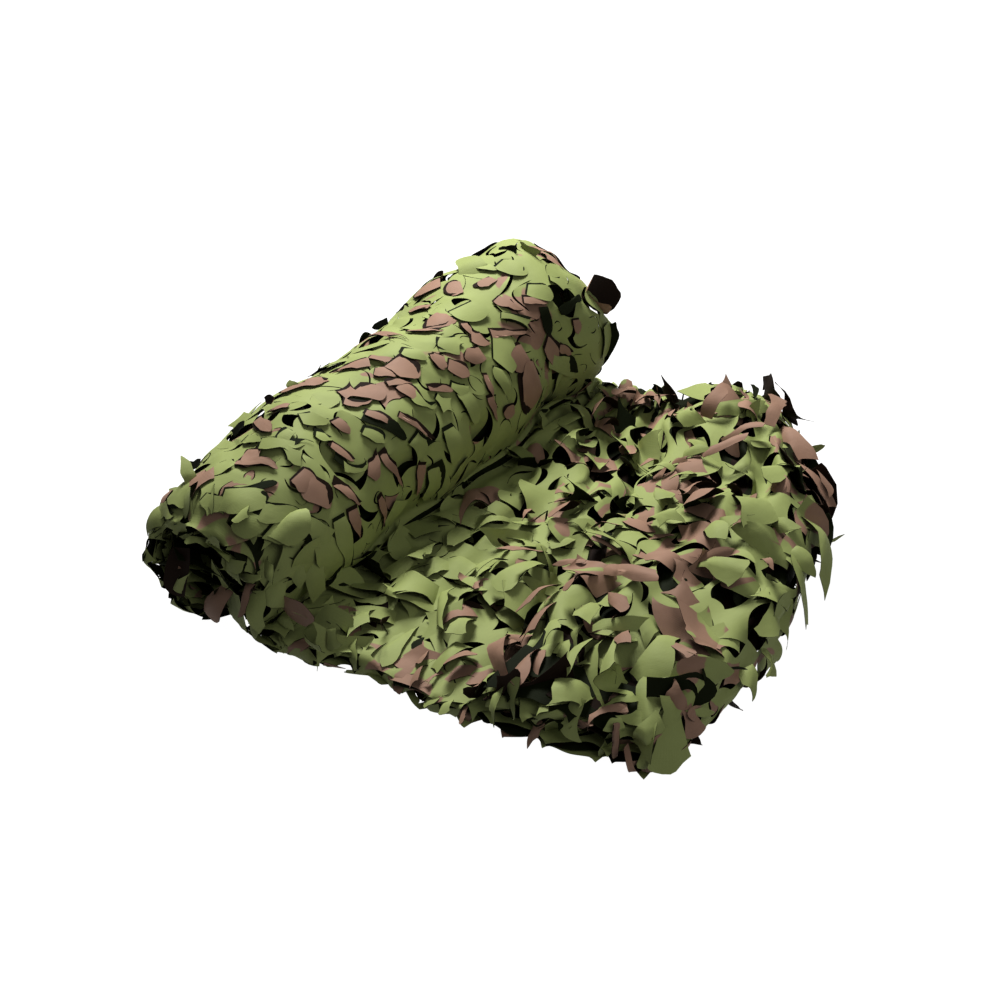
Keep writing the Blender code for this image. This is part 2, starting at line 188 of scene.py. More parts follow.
def crumple(x, y, z):
    # moves plain points as slack cloth strays, most of all at the two ends
    steady = smoothstep(z / form["steadyHeight"])
    run, lean = form["edgeRun"], form["waveLean"]
    nearShare, farShare = smoothstep((near + run - y) / run), smoothstep((y - far + run) / run)
    turn = 2 * np.pi / form["edgeWavelength"]
    swirl = form["edgeSwirl"] * np.sin(turn * z / 2)
    uneven = form["edgeWave"] * np.sin(turn * x + swirl) * np.cos(turn * z * form["edgeRise"])
    nearOut = nearShare * (uneven + np.interp(x, standOut[:, 0], standOut[:, 1]))
    farOut = farShare * (uneven + np.interp(x, standOut[:, 0], standOut[:, 2]))
    return np.stack((
        x + wave(form["wavesAlong"], y + lean * z) * steady,
        y + farOut - nearOut + wave(form["wavesAcross"], x + lean * z),
        z + wave(form["wavesUp"], x + y) * steady,
    ), axis=-1)


def dentLift(across, x, along):
    lift = np.zeros_like(x)
    onRoll = across < parts["ground"][0]
    for dx, dy, reachX, reachY, height in dents:
        away = ((x - dx) / reachX) ** 2 + ((along - dy) / reachY) ** 2
        lift += np.where(onRoll == (dx < form["rollReach"]), height * np.exp(-away), 0)
    edge = form["dentEdge"]
    weight = np.max([smoothstep((across - parts[n][0]) / edge) * smoothstep((parts[n][1] - across) / edge)
                     for n in ("roll", "fold", "upper", "lower")], axis=0)
    return weight * lift


def skinTable():
    # points and normals of the net's skin, by rows round the section and columns along the roll
    stepAcross, stepAlong = form["tableStep"]
    across = np.linspace(0, roundLength, int(roundLength / stepAcross), endpoint=False)
    along = np.linspace(near, far, int((far - near) / stepAlong))
    c, y = np.meshgrid(across, along, indexing="ij")
    x, z = np.zeros_like(c), np.zeros_like(c)
    for name, (_, point) in outlineParts(y).items():
        start, end = parts[name]
        here = (c >= start) & (c <= end)
        px, pz = point(np.clip((c - start) / (end - start), 0, 1))
        x, z = np.where(here, px, x), np.where(here, pz, z)
    tangent = np.stack((np.roll(x, -1, 0) - np.roll(x, 1, 0), np.roll(z, -1, 0) - np.roll(z, 1, 0)))
    tangent /= np.linalg.norm(tangent, axis=0) + 1e-12
    lift = dentLift(c, x, y)
    x, z = x + tangent[1] * lift, np.maximum(z - tangent[0] * lift, 0)
    table = crumple(x, y, z)
    for _ in range(3):  # softens the corners where parts of the section meet
        table = (np.roll(table, 1, 0) + 2 * table + np.roll(table, -1, 0)) / 4
    normal = np.cross(np.gradient(table, axis=1), np.roll(table, -1, 0) - np.roll(table, 1, 0))
    normal /= np.linalg.norm(normal, axis=2, keepdims=True) + 1e-12
    return table, normal, across[1], along[1] - along[0]


skinPoints, skinNormals, tableAcross, tableAlong = skinTable()


def readTable(table, i, j):
    i0, j0 = np.floor(i).astype(int), np.clip(np.floor(j).astype(int), 0, table.shape[1] - 2)
    fi, fj = (i - i0)[..., None], (j - j0)[..., None]
    rows = table.shape[0]
    low = mix(table[i0 % rows, j0], table[(i0 + 1) % rows, j0], fi)
    high = mix(table[i0 % rows, j0 + 1], table[(i0 + 1) % rows, j0 + 1], fi)
    return mix(low, high, fj)


def cloudNoise(seed):
    # a smooth random field of two coordinates, from -1 to 1, that repeats after this many lengths
    size = 64
    lattice = np.random.default_rng(seed).uniform(-1, 1, (size, size))

    def value(u, v, length):
        p, q = u / length + 31.7, v / length + 17.3
        p0, q0 = np.floor(p).astype(int), np.floor(q).astype(int)
        f, g = smoothstep(p - p0), smoothstep(q - q0)
        p0, p1, q0, q1 = p0 % size, (p0 + 1) % size, q0 % size, (q0 + 1) % size
        return mix(mix(lattice[p0, q0], lattice[p1, q0], f), mix(lattice[p0, q1], lattice[p1, q1], f), g)

    return value


hang = {
    "radius": (0.006, 0.016),  # of the turn over the end of the roll or the fold
    "angle": (0.9, 1.75),  # how far it turns, in radians
    "steep": (0.012, 0.030, 1.65),  # what lies further out than this hangs at this angle
    "steps": 12,
    "patch": 0.07,  # length over which that changes
    "mostLean": 1.2,  # how far the cloth's own height turns with it
    "leafOut": 0.008,  # the most that a leaf stands out from an end
    "leastHeight": 0.0008,  # above the floor
}
hangNoise = cloudNoise(5)


def onNet(across, along, height):
    # Points at places on the net's skin, some height above it. Past its ends the cloth turns inwards.
    place = readTable(skinPoints, across / tableAcross, (np.clip(along, near, far) - near) / tableAlong)
    out = readTable(skinNormals, across / tableAcross, (np.clip(along, near, far) - near) / tableAlong)
    out = out / (np.linalg.norm(out, axis=-1, keepdims=True) + 1e-12)
    over = np.maximum(near - along, 0) + np.maximum(along - far, 0)
    side = np.where(along < near, -1.0, 1.0)
    share = 0.5 + 0.5 * hangNoise(across, side, hang["patch"])
    radius, most = mix(*hang["radius"], share), mix(*hang["angle"], 1 - share)
    nearer, further, steep = hang["steep"]
    drop, reach = np.zeros_like(over), np.zeros_like(over)
    for k in range(hang["steps"]):
        run = over * (k + 0.5) / hang["steps"]
        bent = most + smoothstep((run - nearer) / (further - nearer)) * np.maximum(steep - most, 0)
        turned = np.minimum(run / radius, bent)
        drop += np.sin(turned) * over / hang["steps"]
        reach += np.cos(turned) * over / hang["steps"]
    leaf = hang["leafOut"] * np.tanh(height / hang["leafOut"]) * np.sin(turned)
    points = place + out * (height * np.cos(np.minimum(turned, hang["mostLean"])) - drop)[..., None]
    points[..., 1] += side * (reach + leaf)
    points[..., 2] = np.maximum(points[..., 2], hang["leastHeight"])
    return points


print("form ready, skin table", skinPoints.shape)


# The cloth laid flat, with a leaf cut by each slit.
cut = {
    # pitch across and along, least and greatest leaf, tries at each place
    "tightLeaves": ((0.048, 0.042, 0.036, 0.052, 16), (0.030, 0.026, 0.020, 0.030, 6),
                    (0.028, 0.025, 0.012, 0.018, 2)),
    "looseLeaves": ((0.060, 0.052, 0.044, 0.062, 7), (0.034, 0.030, 0.022, 0.036, 3)),
    "jitter": 0.008,
    "shrink": 0.08,  # how much smaller a leaf gets with each try
    "bridge": 0.0030,  # uncut cloth left between leaves
    "edgeBridge": 0.001,  # and this much more along an edge
    "margin": 0.03,  # room round the cloth in the raster of what is taken
    "slitStep": 0.0036,  # spacing of points along a slit
    "meshStep": 0.0085,
    "rowShare": 0.87,  # of that step, from one row of points to the next
    "rasterStep": 0.002,
    "nearStep": 0.0016,  # points of the mesh closer than about two of these to a slit are left out
    "edgeBite": (0.012, 0.034),  # depth of the bites along a cut edge
    "edgePitch": (0.036, 0.070),
    "edgeLean": (0.3, 0.7),  # where in its pitch a bite is deepest
    "edgeRound": 0.7,  # below 1 makes the bites rounder
    "edgeRough": (-0.004, 0.004),
    "edgeRun": 0.01,  # how far the bites go on past both sides of the cloth
    "edgeClear": 0.001,  # no bite's points lie this near to a side
    "clear": 0.002,  # least distance of the mesh's own points from an edge
    "merge": 1e-7,  # points of a mesh closer than this become one
    "bendSteps": 16,
    "hingeRun": 0.009,  # length over which a leaf bends up at its hinge
    "wornReach": 0.08,  # how far in from the near end many leaves are lost
    "kerf": 0.0012,  # how much narrower a leaf is than its hole, once the cloth is pulled
    "narrowing": 0.6,  # how much of a leaf's pull also narrows its tip
    "creaseAt": 0.4,  # in lengths of the leaf
}
# leaf outlines from one end of the hinge round to the other: x, y, and how much the stretch after it bows out
leafChart = (
    ((-0.34, 0.00, 0.20), (-0.42, 0.60, 0.46), (0.40, 0.66, 0.20), (0.34, 0.00, 0)),
    ((-0.42, 0.00, 0.16), (-0.34, 0.68, 0.42), (0.36, 0.72, 0.14), (0.44, 0.00, 0)),
    ((-0.44, 0.00, -0.12), (-0.26, 1.08, 0.24), (0.44, 0.00, 0)),
    ((-0.42, 0.00, 0.26), (0.18, 1.02, -0.16), (0.58, 0.56, 0.14), (0.40, 0.00, 0)),
    ((-0.38, 0.00, -0.10), (-0.56, 0.84, -0.20), (0.50, 0.96, 0.10), (0.42, 0.00, 0)),
    ((-0.36, 0.00, 0.26), (0.04, 1.12, 0.30), (0.38, 0.00, 0)),
    ((-0.60, 0.00, 0.44), (0.60, 0.00, 0)),
    ((-0.46, 0.00, 0.30), (-0.10, 0.86, -0.14), (0.52, 0.80, 0.18), (0.44, 0.00, 0)),
    ((-0.40, 0.00, -0.18), (0.62, 0.94, 0.22), (0.40, 0.00, 0)),
    ((-0.42, 0.00, 0.10), (-0.50, 0.74, -0.24), (0.02, 0.66, -0.20), (0.46, 0.98, 0.10), (0.42, 0.00, 0)),
)


def leafOutline(chart, size, flip):
    # points along a charted outline, a slit's step apart
    points = []
    for (x0, y0, bow), (x1, y1, _) in zip(chart, chart[1:]):
        first, last = np.array((x0, y0)) * size, np.array((x1, y1)) * size
        chord = last - first
        count = max(2, int(np.linalg.norm(chord) * (1 + 2 * abs(bow)) / cut["slitStep"]))
        t = np.arange(count)[:, None] / count
        points.append(first + chord * t + np.array((-chord[1], chord[0])) * bow * 4 * t * (1 - t))
    points.append(last[None])
    outline = np.concatenate(points)
    return outline[::-1] * (-1, 1) if flip else outline


def insidePolygon(points, polygon):
    found = np.zeros(len(points), bool)
    x, y = points[:, 0], points[:, 1]
    for (x0, y0), (x1, y1) in zip(polygon, np.roll(polygon, -1, axis=0)):
        if y0 != y1:
            found ^= ((y0 > y) != (y1 > y)) & (x < x0 + (y - y0) / (y1 - y0) * (x1 - x0))
    return found


def bittenEdge(width, level, side, rng, bitten):
    # a cut edge as a polyline across the cloth, with bites between the leaves that stand out from it
    places, heights, at = [], [], -cut["edgeRun"]
    while at < width + cut["edgeRun"]:
        pitch, depth = rng.uniform(*cut["edgePitch"]), rng.uniform(*cut["edgeBite"])
        lean = rng.uniform(*cut["edgeLean"])
        t = np.arange(int(pitch / cut["slitStep"])) / int(pitch / cut["slitStep"])
        skewed = np.where(t < lean, t / lean / 2, 0.5 + (t - lean) / (1 - lean) / 2)
        places.append(at + t * pitch)
        heights.append(-depth * np.sin(np.pi * skewed) ** cut["edgeRound"] + rng.uniform(*cut["edgeRough"]))
        at += pitch
    across, out = np.concatenate(places), np.concatenate(heights) * side * bitten
    keep = (across > cut["edgeClear"]) & (across < width - cut["edgeClear"])
    ends = np.interp((0, width), across, out)
    return (np.concatenate(((0,), across[keep], (width,))),
            level + np.concatenate((ends[:1], out[keep], ends[1:])))


def cutCloth(width, low, high, seed, leaves="looseLeaves", missing=(0, 0), bites=(1, 1), hollows=()):
    # a flat cloth with bitten ends and slits of random leaves, the large ones placed first
    rng = np.random.default_rng(seed)
    cloth = {"width": width, "low": low, "high": high, "rng": rng, "leaves": [], "missing": missing}
    cloth["edges"] = [bittenEdge(width, low, -1, rng, bites[0]), bittenEdge(width, high, 1, rng, bites[1])]
    for middle, reach, depth in hollows:  # where the near edge lies further in
        across, level = cloth["edges"][0]
        cloth["edges"][0] = across, level + depth * np.exp(-(((across - middle) / reach) ** 2))
    step, margin = cut["rasterStep"], cut["margin"]
    cloth["corner"] = np.array((-margin, low - margin))
    shape = ((width + 2 * margin) / step, (high - low + 2 * margin) / step)
    taken = np.full((int(shape[0]) + 1, int(shape[1]) + 1), -1, np.int32)
    i, j = np.indices(taken.shape)
    across, along = cloth["corner"][0] + (i + 0.5) * step, cloth["corner"][1] + (j + 0.5) * step
    keep = cut["bridge"] + cut["edgeBridge"]
    free = (across > keep) & (across < width - keep)
    free &= (along > np.interp(across, *cloth["edges"][0]) + keep)
    free &= (along < np.interp(across, *cloth["edges"][1]) - keep)
    taken[~free] = -2
    cloth["taken"] = taken
    for pitchAcross, pitchAlong, least, most, tries in cut[leaves]:
        for row in range(int((high - low) / pitchAlong) + 1):
            for column in range(int(width / pitchAcross) + 2):
                spot = np.array(((column + 0.5 * (row % 2)) * pitchAcross, low + row * pitchAlong))
                for attempt in range(tries):
                    size = rng.uniform(least, most) * (1 - cut["shrink"] * attempt)
                    stray = rng.uniform(-1, 1, 2) * cut["jitter"] * (1 + attempt / 2)
                    if placeLeaf(cloth, spot + stray, size):
                        break
    meshCloth(cloth)
    return cloth


def placeLeaf(cloth, middle, size):
    # cuts one leaf where the cloth is still free, and tells whether it found room
    rng, taken, step = cloth["rng"], cloth["taken"], cut["rasterStep"]
    outline = leafOutline(leafChart[rng.integers(len(leafChart))], size, rng.random() < 0.5)
    turn = rng.uniform(0, 2 * np.pi)
    out, hinge = np.array((math.cos(turn), math.sin(turn))), np.array((math.sin(turn), -math.cos(turn)))
    local = outline - outline.mean(0)
    slit = middle + local[:, :1] * hinge + local[:, 1:] * out
    centre = slit.mean(0)
    grown = centre + (slit - centre) * (1 + 2 * cut["bridge"] / size)
    low = np.floor((grown.min(0) - cloth["corner"]) / step).astype(int)
    high = np.floor((grown.max(0) - cloth["corner"]) / step).astype(int) + 1
    if (low < 0).any() or (high >= taken.shape).any():
        return False
    i, j = np.indices(high - low)
    cells = np.stack((i.ravel() + low[0], j.ravel() + low[1]), 1)
    places = cloth["corner"] + (cells + 0.5) * step
    wide = insidePolygon(places, grown)
    if (taken[cells[wide, 0], cells[wide, 1]] != -1).any():
        return False
    tight = insidePolygon(places, slit)
    taken[cells[wide, 0], cells[wide, 1]] = -2
    taken[cells[tight, 0], cells[tight, 1]] = len(cloth["leaves"])
    origin = (slit[0] + slit[-1]) / 2
    cloth["leaves"].append({"slit": slit, "origin": origin, "out": out, "hinge": hinge, "size": size,
                            "length": ((slit - origin) @ out).max()})
    return True


def meshCloth(cloth):
    # the flat cloth as triangles, parted along its slits
    points, owner, kind, edges = [], [], [], []

    def addLine(line, leaf, kinds):
        first = len(points)
        points.extend(map(tuple, line))
        owner.extend([leaf] * len(line))
        kind.extend(kinds)
        edges.extend((first + k, first + k + 1) for k in range(len(line) - 1))
        return first

    for leaf, facts in enumerate(cloth["leaves"]):  # kinds: 0 cloth, 1 slit, 2 hinge
        slit = facts["slit"]
        first = addLine(slit, leaf, [2] + [1] * (len(slit) - 2) + [2])
        count = max(2, int(np.linalg.norm(slit[-1] - slit[0]) / cut["meshStep"]))
        chord = slit[0] + (slit[-1] - slit[0]) * np.linspace(0, 1, count + 1)[1:-1, None]
        middle = addLine(chord, leaf, [2] * len(chord))
        edges.append((first, middle))
        edges.append((len(points) - 1, first + len(slit) - 1))
    for across, level in cloth["edges"]:
        addLine(np.stack((across, level), 1), -1, [0] * len(across))
    lowEdge, highEdge = cloth["edges"]
    for across in (0.0, cloth["width"]):
        low, high = np.interp(across, *lowEdge), np.interp(across, *highEdge)
        level = np.linspace(low, high, int((high - low) / cut["meshStep"]) + 1)[1:-1]
        addLine(np.stack((0 * level + across, level), 1), -1, [0] * len(level))
    fixed = np.array(points)

    step, corner = cut["meshStep"], cloth["corner"]
    rows = []
    for k, along in enumerate(np.arange(cloth["low"], cloth["high"], step * cut["rowShare"])):
        across = np.arange(step * (0.5 + 0.5 * (k % 2)), cloth["width"] - step / 2, step)
        rows.append(np.stack((across, 0 * across + along), 1))
    grid = np.concatenate(rows)
    cell = cut["nearStep"]
    close = np.zeros(((np.array((cloth["width"], cloth["high"])) + 0.04 - corner) / cell).astype(int), bool)
    spots = ((fixed - corner) / cell).astype(int)
    for di in range(-2, 3):
        for dj in range(-2, 3):
            close[spots[:, 0] + di, spots[:, 1] + dj] = True
    spots = ((grid - corner) / cell).astype(int)
    keep = grid[:, 1] > np.interp(grid[:, 0], *lowEdge) + cut["clear"]
    keep &= grid[:, 1] < np.interp(grid[:, 0], *highEdge) - cut["clear"]
    grid = grid[keep & ~close[spots[:, 0], spots[:, 1]]]
    cells = np.floor((grid - corner) / cut["rasterStep"]).astype(int)
    points += list(map(tuple, grid))
    owner = np.concatenate((owner, np.maximum(cloth["taken"][cells[:, 0], cells[:, 1]], -1)))
    kind = np.concatenate((kind, np.zeros(len(grid), int)))

    made, _, faces, origins, _, _ = delaunay_2d_cdt([Vector(p) for p in points], edges, [], 0, cut["merge"])
    first = np.array([o[0] if o else -1 for o in origins])
    flat = np.array([tuple(p) for p in made])
    owner, kind = np.where(first >= 0, owner[first], -1), np.where(first >= 0, kind[first], 0)
    faces = np.array([f for f in faces if len(f) == 3])
    centres = flat[faces].mean(1)
    keep = centres[:, 1] > np.interp(centres[:, 0], *lowEdge)
    keep &= centres[:, 1] < np.interp(centres[:, 0], *highEdge)
    faces, centres = faces[keep], centres[keep]

    # a face belongs to a leaf when it lies inside its slit and hinge
    corners = owner[faces]
    same = (corners[:, 0] == corners[:, 1]) & (corners[:, 1] == corners[:, 2]) & (corners[:, 0] >= 0)
    faceLeaf = np.full(len(faces), -1)
    free = (kind[faces] == 0).any(1)
    faceLeaf[same & free] = corners[same & free, 0]
    unsure = np.nonzero(same & ~free)[0]
    for leaf in np.unique(corners[unsure, 0]):
        mine = unsure[corners[unsure, 0] == leaf]
        faceLeaf[mine[insidePolygon(centres[mine], cloth["leaves"][leaf]["slit"])]] = leaf

    # each slit point is doubled, so that the leaf's edge parts from the cloth round it
    slitPoints = np.nonzero(kind == 1)[0]
    copies = np.full(len(flat), -1)
    copies[slitPoints] = len(flat) + np.arange(len(slitPoints))
    onLeaf = faceLeaf >= 0
    faces[onLeaf] = np.where(copies[faces[onLeaf]] >= 0, copies[faces[onLeaf]], faces[onLeaf])
    flat = np.concatenate((flat, flat[slitPoints]))
    leafOf = np.concatenate((np.where(kind == 0, owner, -1), owner[slitPoints]))
    fromEdge = np.array([leaf["origin"][1] for leaf in cloth["leaves"]] or [0.0]) - cloth["low"]
    anywhere, nearEdge = cloth["missing"]
    chance = anywhere + nearEdge * np.exp(-fromEdge / cut["wornReach"])
    dropped = np.append(cloth["rng"].random(len(chance)) < chance, False)
    keep = ~onLeaf | ~dropped[faceLeaf]
    faces, faceLeaf = faces[keep], faceLeaf[keep]
    used = np.zeros(len(flat), bool)
    used[faces] = True
    cloth.update(flat=flat[used], leafOf=leafOf[used], faces=(np.cumsum(used) - 1)[faces], faceLeaf=faceLeaf)


def bentLine(angle, step):
    # how far out and up a line gets, step by step, when it slopes at these angles
    mean = (angle[1:] + angle[:-1]) / 2
    return (np.concatenate(((0,), np.cumsum(turned(mean)) * step)) for turned in (np.cos, np.sin))


def liftLeaves(cloth, pose):
    # flat places and heights once every leaf is bent about its hinge
    place, height = cloth["flat"].copy(), np.zeros(len(cloth["flat"]))
    order = np.argsort(cloth["leafOf"], kind="stable")
    sortedLeaf = cloth["leafOf"][order]
    for leaf, facts in enumerate(cloth["leaves"]):
        mine = order[np.searchsorted(sortedLeaf, leaf):np.searchsorted(sortedLeaf, leaf + 1)]
        if not len(mine):
            continue
        bend = pose(cloth["rng"])
        away = cloth["flat"][mine] - facts["origin"]
        out, side = away @ facts["out"], away @ facts["hinge"]
        run = np.linspace(0, max(facts["length"], out.max()) + 1e-6, cut["bendSteps"])  # from the hinge
        angle = bend["kink"] * smoothstep(run / cut["hingeRun"]) + bend["curl"] * run / run[-1]
        reach, rise = bentLine(angle, (run[1] - run[0]) * (1 - bend["pull"]))
        share = np.clip(out / run[-1], 0, 1)
        bentOut = np.where(out > 0, np.interp(out, run, reach), out)
        bentSide = side * (1 - cut["narrowing"] * bend["pull"] * share - 2 * cut["kerf"] / facts["size"])
        turn = bend["creaseTurn"]
        across = out * math.cos(turn) + side * math.sin(turn)
        pastCrease = np.maximum(across - cut["creaseAt"] * facts["length"], 0)
        rise = np.interp(out, run, rise) + side * share * bend["twist"]
        height[mine] = rise + bend["crease"] * pastCrease * smoothstep(out / cut["hingeRun"])
        place[mine] = facts["origin"] + bentOut[:, None] * facts["out"] + bentSide[:, None] * facts["hinge"]
    return place, height


# Flaps: leaves that have come right out of their slits and lie over their neighbours.
flapChart = (  # root first and last; x, y in lengths of the flap, and the bow of the edge that follows
    ((-0.30, 0.00, 0.12), (-0.24, 0.60, 0.10), (0.18, 1.05, -0.16), (0.36, 0.45, -0.08), (0.28, 0.00, 0)),
    ((-0.22, 0.00, -0.12), (-0.44, 0.95, -0.20), (0.10, 0.78, -0.16), (0.52, 1.05, -0.10), (0.24, 0.00, 0)),
    ((-0.20, 0.00, -0.14), (-0.50, 0.52, 0.06), (-0.02, 1.10, 0.06), (0.48, 0.60, -0.16), (0.20, 0.00, 0)),
    ((-0.28, 0.00, 0.20), (0.02, 0.72, 0.10), (0.54, 0.98, -0.24), (0.28, 0.00, 0)),
    ((-0.26, 0.00, 0.04), (-0.28, 1.05, -0.06), (0.30, 1.25, 0.05), (0.26, 0.00, 0)),
    ((-0.28, 0.00, -0.14), (-0.54, 0.80, 0.12), (0.50, 0.92, -0.12), (0.30, 0.00, 0)),
    ((-0.26, 0.00, 0.16), (0.06, 1.20, 0.12), (0.28, 0.00, 0)),
    ((-0.22, 0.00, -0.10), (-0.58, 0.60, -0.18), (-0.04, 1.04, -0.16), (0.56, 0.66, -0.12), (0.22, 0.00, 0)),
    ((-0.28, 0.00, 0.08), (-0.32, 0.64, 0.36), (0.36, 0.68, 0.08), (0.28, 0.00, 0)),
    ((-0.32, 0.00, -0.06), (-0.40, 0.55, 0.16), (0.10, 0.98, -0.10), (0.60, 0.86, 0.10), (0.30, 0.00, 0)),
)
flap = {
    "edgeStep": 0.12,  # in lengths of the flap
    "insideStep": 0.15,
    "insideClear": 0.55,  # least distance of a point inside from the edge, in those steps
    "halfWidth": 0.75,  # points inside are laid out this far to each side, in lengths, and in this many rows
    "rows": 10,
    "bendSteps": 20,
    "root": -0.005,  # the root's height over the cloth that it comes out of
    "foldWidth": 0.035,
    "uneven": 0.07,  # how far its cut edge strays, in lengths
    "unevenRun": 0.35,  # length of one stray
    "evenRoot": 0.2,  # the root strays less, up to here
    "apart": 60,  # sets each flap at its own place in the noise
    "middle": 0.45,  # where the second of the three slopes that curl it lies
    "jitter": 0.42,  # in pitches
    "swingRun": 0.10,  # length over which the flaps' common heading changes
    "loft": 0.003,  # lifts a flap by up to this much
}
unevenness = cloudNoise(90)


def flapTemplate(chart):
    # a flap of length 1 as points and triangles
    outline = leafOutline(chart, 1.0, False)
    keep = [0]
    sharp = {tuple(np.round(point[:2], 6)) for point in chart}
    for k in range(1, len(outline)):
        far = np.linalg.norm(outline[k] - outline[keep[-1]]) > flap["edgeStep"]
        if far or tuple(np.round(outline[k], 6)) in sharp:
            keep.append(k)
    outline = outline[keep]
    step = flap["insideStep"]
    inside = np.array([(x + step / 2 * (row % 2), row * step * cut["rowShare"] + step / 2)
                       for row in range(flap["rows"])
                       for x in np.arange(-flap["halfWidth"], flap["halfWidth"], step)])
    inside = inside[insidePolygon(inside, outline)]
    apart = np.linalg.norm(inside[:, None] - outline[None], axis=2).min(axis=1) > flap["insideClear"] * step
    points = np.concatenate((outline, inside[apart]))
    edges = [(k, (k + 1) % len(outline)) for k in range(len(outline))]
    points = [Vector(p) for p in points.tolist()]
    made, _, faces, _, _, _ = delaunay_2d_cdt(points, edges, [], 0, cut["merge"])
    points = np.array([tuple(p) for p in made])
    faces = np.array([f for f in faces if len(f) == 3])
    return points, faces[insidePolygon(points[faces].mean(axis=1), outline)]


flapTemplates = [flapTemplate(chart) for chart in flapChart]


def bendFlap(points, size, bend):
    # a flap's points across, out and up, once it is folded, twisted and curled
    x, y = (points * (size * bend["width"], size)).T
    u, v = flap["apart"] * bend["twist"] + points[:, 0], points[:, 1]
    free = flap["uneven"] * size * smoothstep(v / flap["evenRoot"])
    x, y = x + free * unevenness(u, v, flap["unevenRun"]), y + free * unevenness(v, u, flap["unevenRun"])
    z = np.zeros(len(x))
    for middle, turn, angle in bend["folds"]:
        away = (x * math.cos(turn) + (y - middle * size) * math.sin(turn))
        width = flap["foldWidth"] * size
        t = np.clip(away / width, 0, 1)
        bent = np.where(away > 0, away, 0)
        arc = np.where(away < width, t * t * width / 2, away - width / 2)
        z += arc * math.sin(angle)
        shift = arc * (math.cos(angle) - 1)
        x, y = x + shift * math.cos(turn), y + shift * math.sin(turn)
    twist = bend["twist"] * np.clip(y / size, 0, 1)
    x, z = x * np.cos(twist) - z * np.sin(twist), x * np.sin(twist) + z * np.cos(twist)
    run = np.linspace(0, max(y.max(), 1e-4), flap["bendSteps"])
    share = run / size
    angle = np.interp(share, (0, flap["middle"], 1.0), bend["angles"])
    reach, rise = bentLine(angle, run[1] - run[0])
    tilt = np.interp(y, run, angle)
    out = np.where(y > 0, np.interp(y, run, reach), y) - z * np.sin(tilt)
    return x, out, np.interp(y, run, rise) + z * np.cos(tilt)


def joinFlaps(cloth, place, lift, flaps):
    # the cloth's places and heights with the flaps' after them: flat, place, lift, corners and facts of each
    count, leaf = len(place), len(cloth["leaves"])
    flat, places, lifts, faces, leafOf = [cloth["flat"]], [place], [lift], [cloth["faces"]], [cloth["leafOf"]]
    for flapFlat, flapPlace, flapLift, corners, facts in flaps:
        flat.append(flapFlat)
        places.append(flapPlace)
        lifts.append(flapLift)
        faces.append(corners + count)
        leafOf.append(np.full(len(flapFlat), leaf))
        cloth["leaves"].append(facts)
        count, leaf = count + len(flapFlat), leaf + 1
    cloth.update(flat=np.concatenate(flat), faces=np.concatenate(faces), leafOf=np.concatenate(leafOf))
    return np.concatenate(places), np.concatenate(lifts)


def addFlaps(cloth, place, lift, pitch, sizes, heading, pose, share=1.0, keepOff=None):
    # scatters flaps over the cloth and returns its places and heights with theirs
    rng = cloth["rng"]
    spots = []
    for row in range(int((cloth["high"] - cloth["low"]) / pitch) + 1):
        for column in range(int(cloth["width"] / pitch) + 1):
            spots.append(((column + 0.5 * (row % 2)) * pitch, cloth["low"] + row * pitch))
    spots = np.array(spots)[rng.random(len(spots)) < share]
    spots = spots + rng.uniform(-flap["jitter"], flap["jitter"], spots.shape) * pitch
    if keepOff is not None:
        spots = spots[np.linalg.norm(spots[:, None] - keepOff, axis=2).min(axis=1) > charted["calm"]]
    swing = cloudNoise(int(rng.integers(1000)))
    swings = swing(spots[:, 0], spots[:, 1], flap["swingRun"])
    flaps = []
    for spot, swung in zip(spots, swings):
        points, corners = flapTemplates[rng.integers(len(flapTemplates))]
        size = rng.uniform(*sizes)
        if rng.random() < 0.5:
            points, corners = points * (-1, 1), corners[:, ::-1]
        x, out, up = bendFlap(points, size, pose(rng))
        turn = heading[0] + heading[1] * swung + rng.normal(0, heading[2])
        ahead, aside = np.array((math.cos(turn), math.sin(turn))), np.array((math.sin(turn), -math.cos(turn)))
        flat = spot + points[:, 1:] * size * ahead + points[:, :1] * size * aside
        moved = spot + out[:, None] * ahead + x[:, None] * aside
        flaps.append((flat, moved, up + flap["root"] + rng.uniform(0, flap["loft"]), corners, {}))
    return joinFlaps(cloth, place, lift, flaps)


def addCharted(cloth, place, lift, chart):
    # leaves at known places, each over a copy of it turned dark side out: a painted shadow that shows as the
    # shaded gap beside it
    rng = cloth["rng"]
    flaps = []
    for *ends, width, shape, kind in chart:
        root, tip, width = np.array(ends[:2]) / 1000, np.array(ends[2:]) / 1000, width / 1000
        way, root = tip - root, root + (ply["overlap"], 0)
        length = np.linalg.norm(way)
        ahead = way / length
        aside = np.array((ahead[1], -ahead[0]))
        points, corners = flapTemplates[shape]
        tall, wide = points[:, 1].max(), np.ptp(points[:, 0])
        brown, reverse = kind == 1, kind == 2
        gap = rng.uniform(*charted["gap"])
        # first the dark copy, the painted shadow, then the leaf over it
        for under in (True, False):
            if reverse and not under:
                continue
            grow = charted["rim"] * gap if under and brown else 0
            shift = np.array(charted["shift"]) * gap * (under and not reverse)
            size = (length + grow) / tall
            bend = {"width": (width + grow) / wide / size, "twist": rng.uniform(*charted["twist"]),
                    "folds": (tuple(rng.uniform(*span) for span in charted["fold"]),),
                    "angles": (0.0, 0.0, 0.0) if under else charted["angles"]}
            x, out, up = bendFlap(points, size, bend)
            flat = root + points[:, 1:] * size * ahead + points[:, :1] * size * aside
            moved = root + shift + out[:, None] * ahead + x[:, None] * aside
            height = (charted["flatter"] * up if under else up) + charted["under" if under else "over"]
            flaps.append((flat, moved, height, corners[:, ::-1] if under else corners, {"brown": brown}))
    return joinFlaps(cloth, place, lift, flaps)


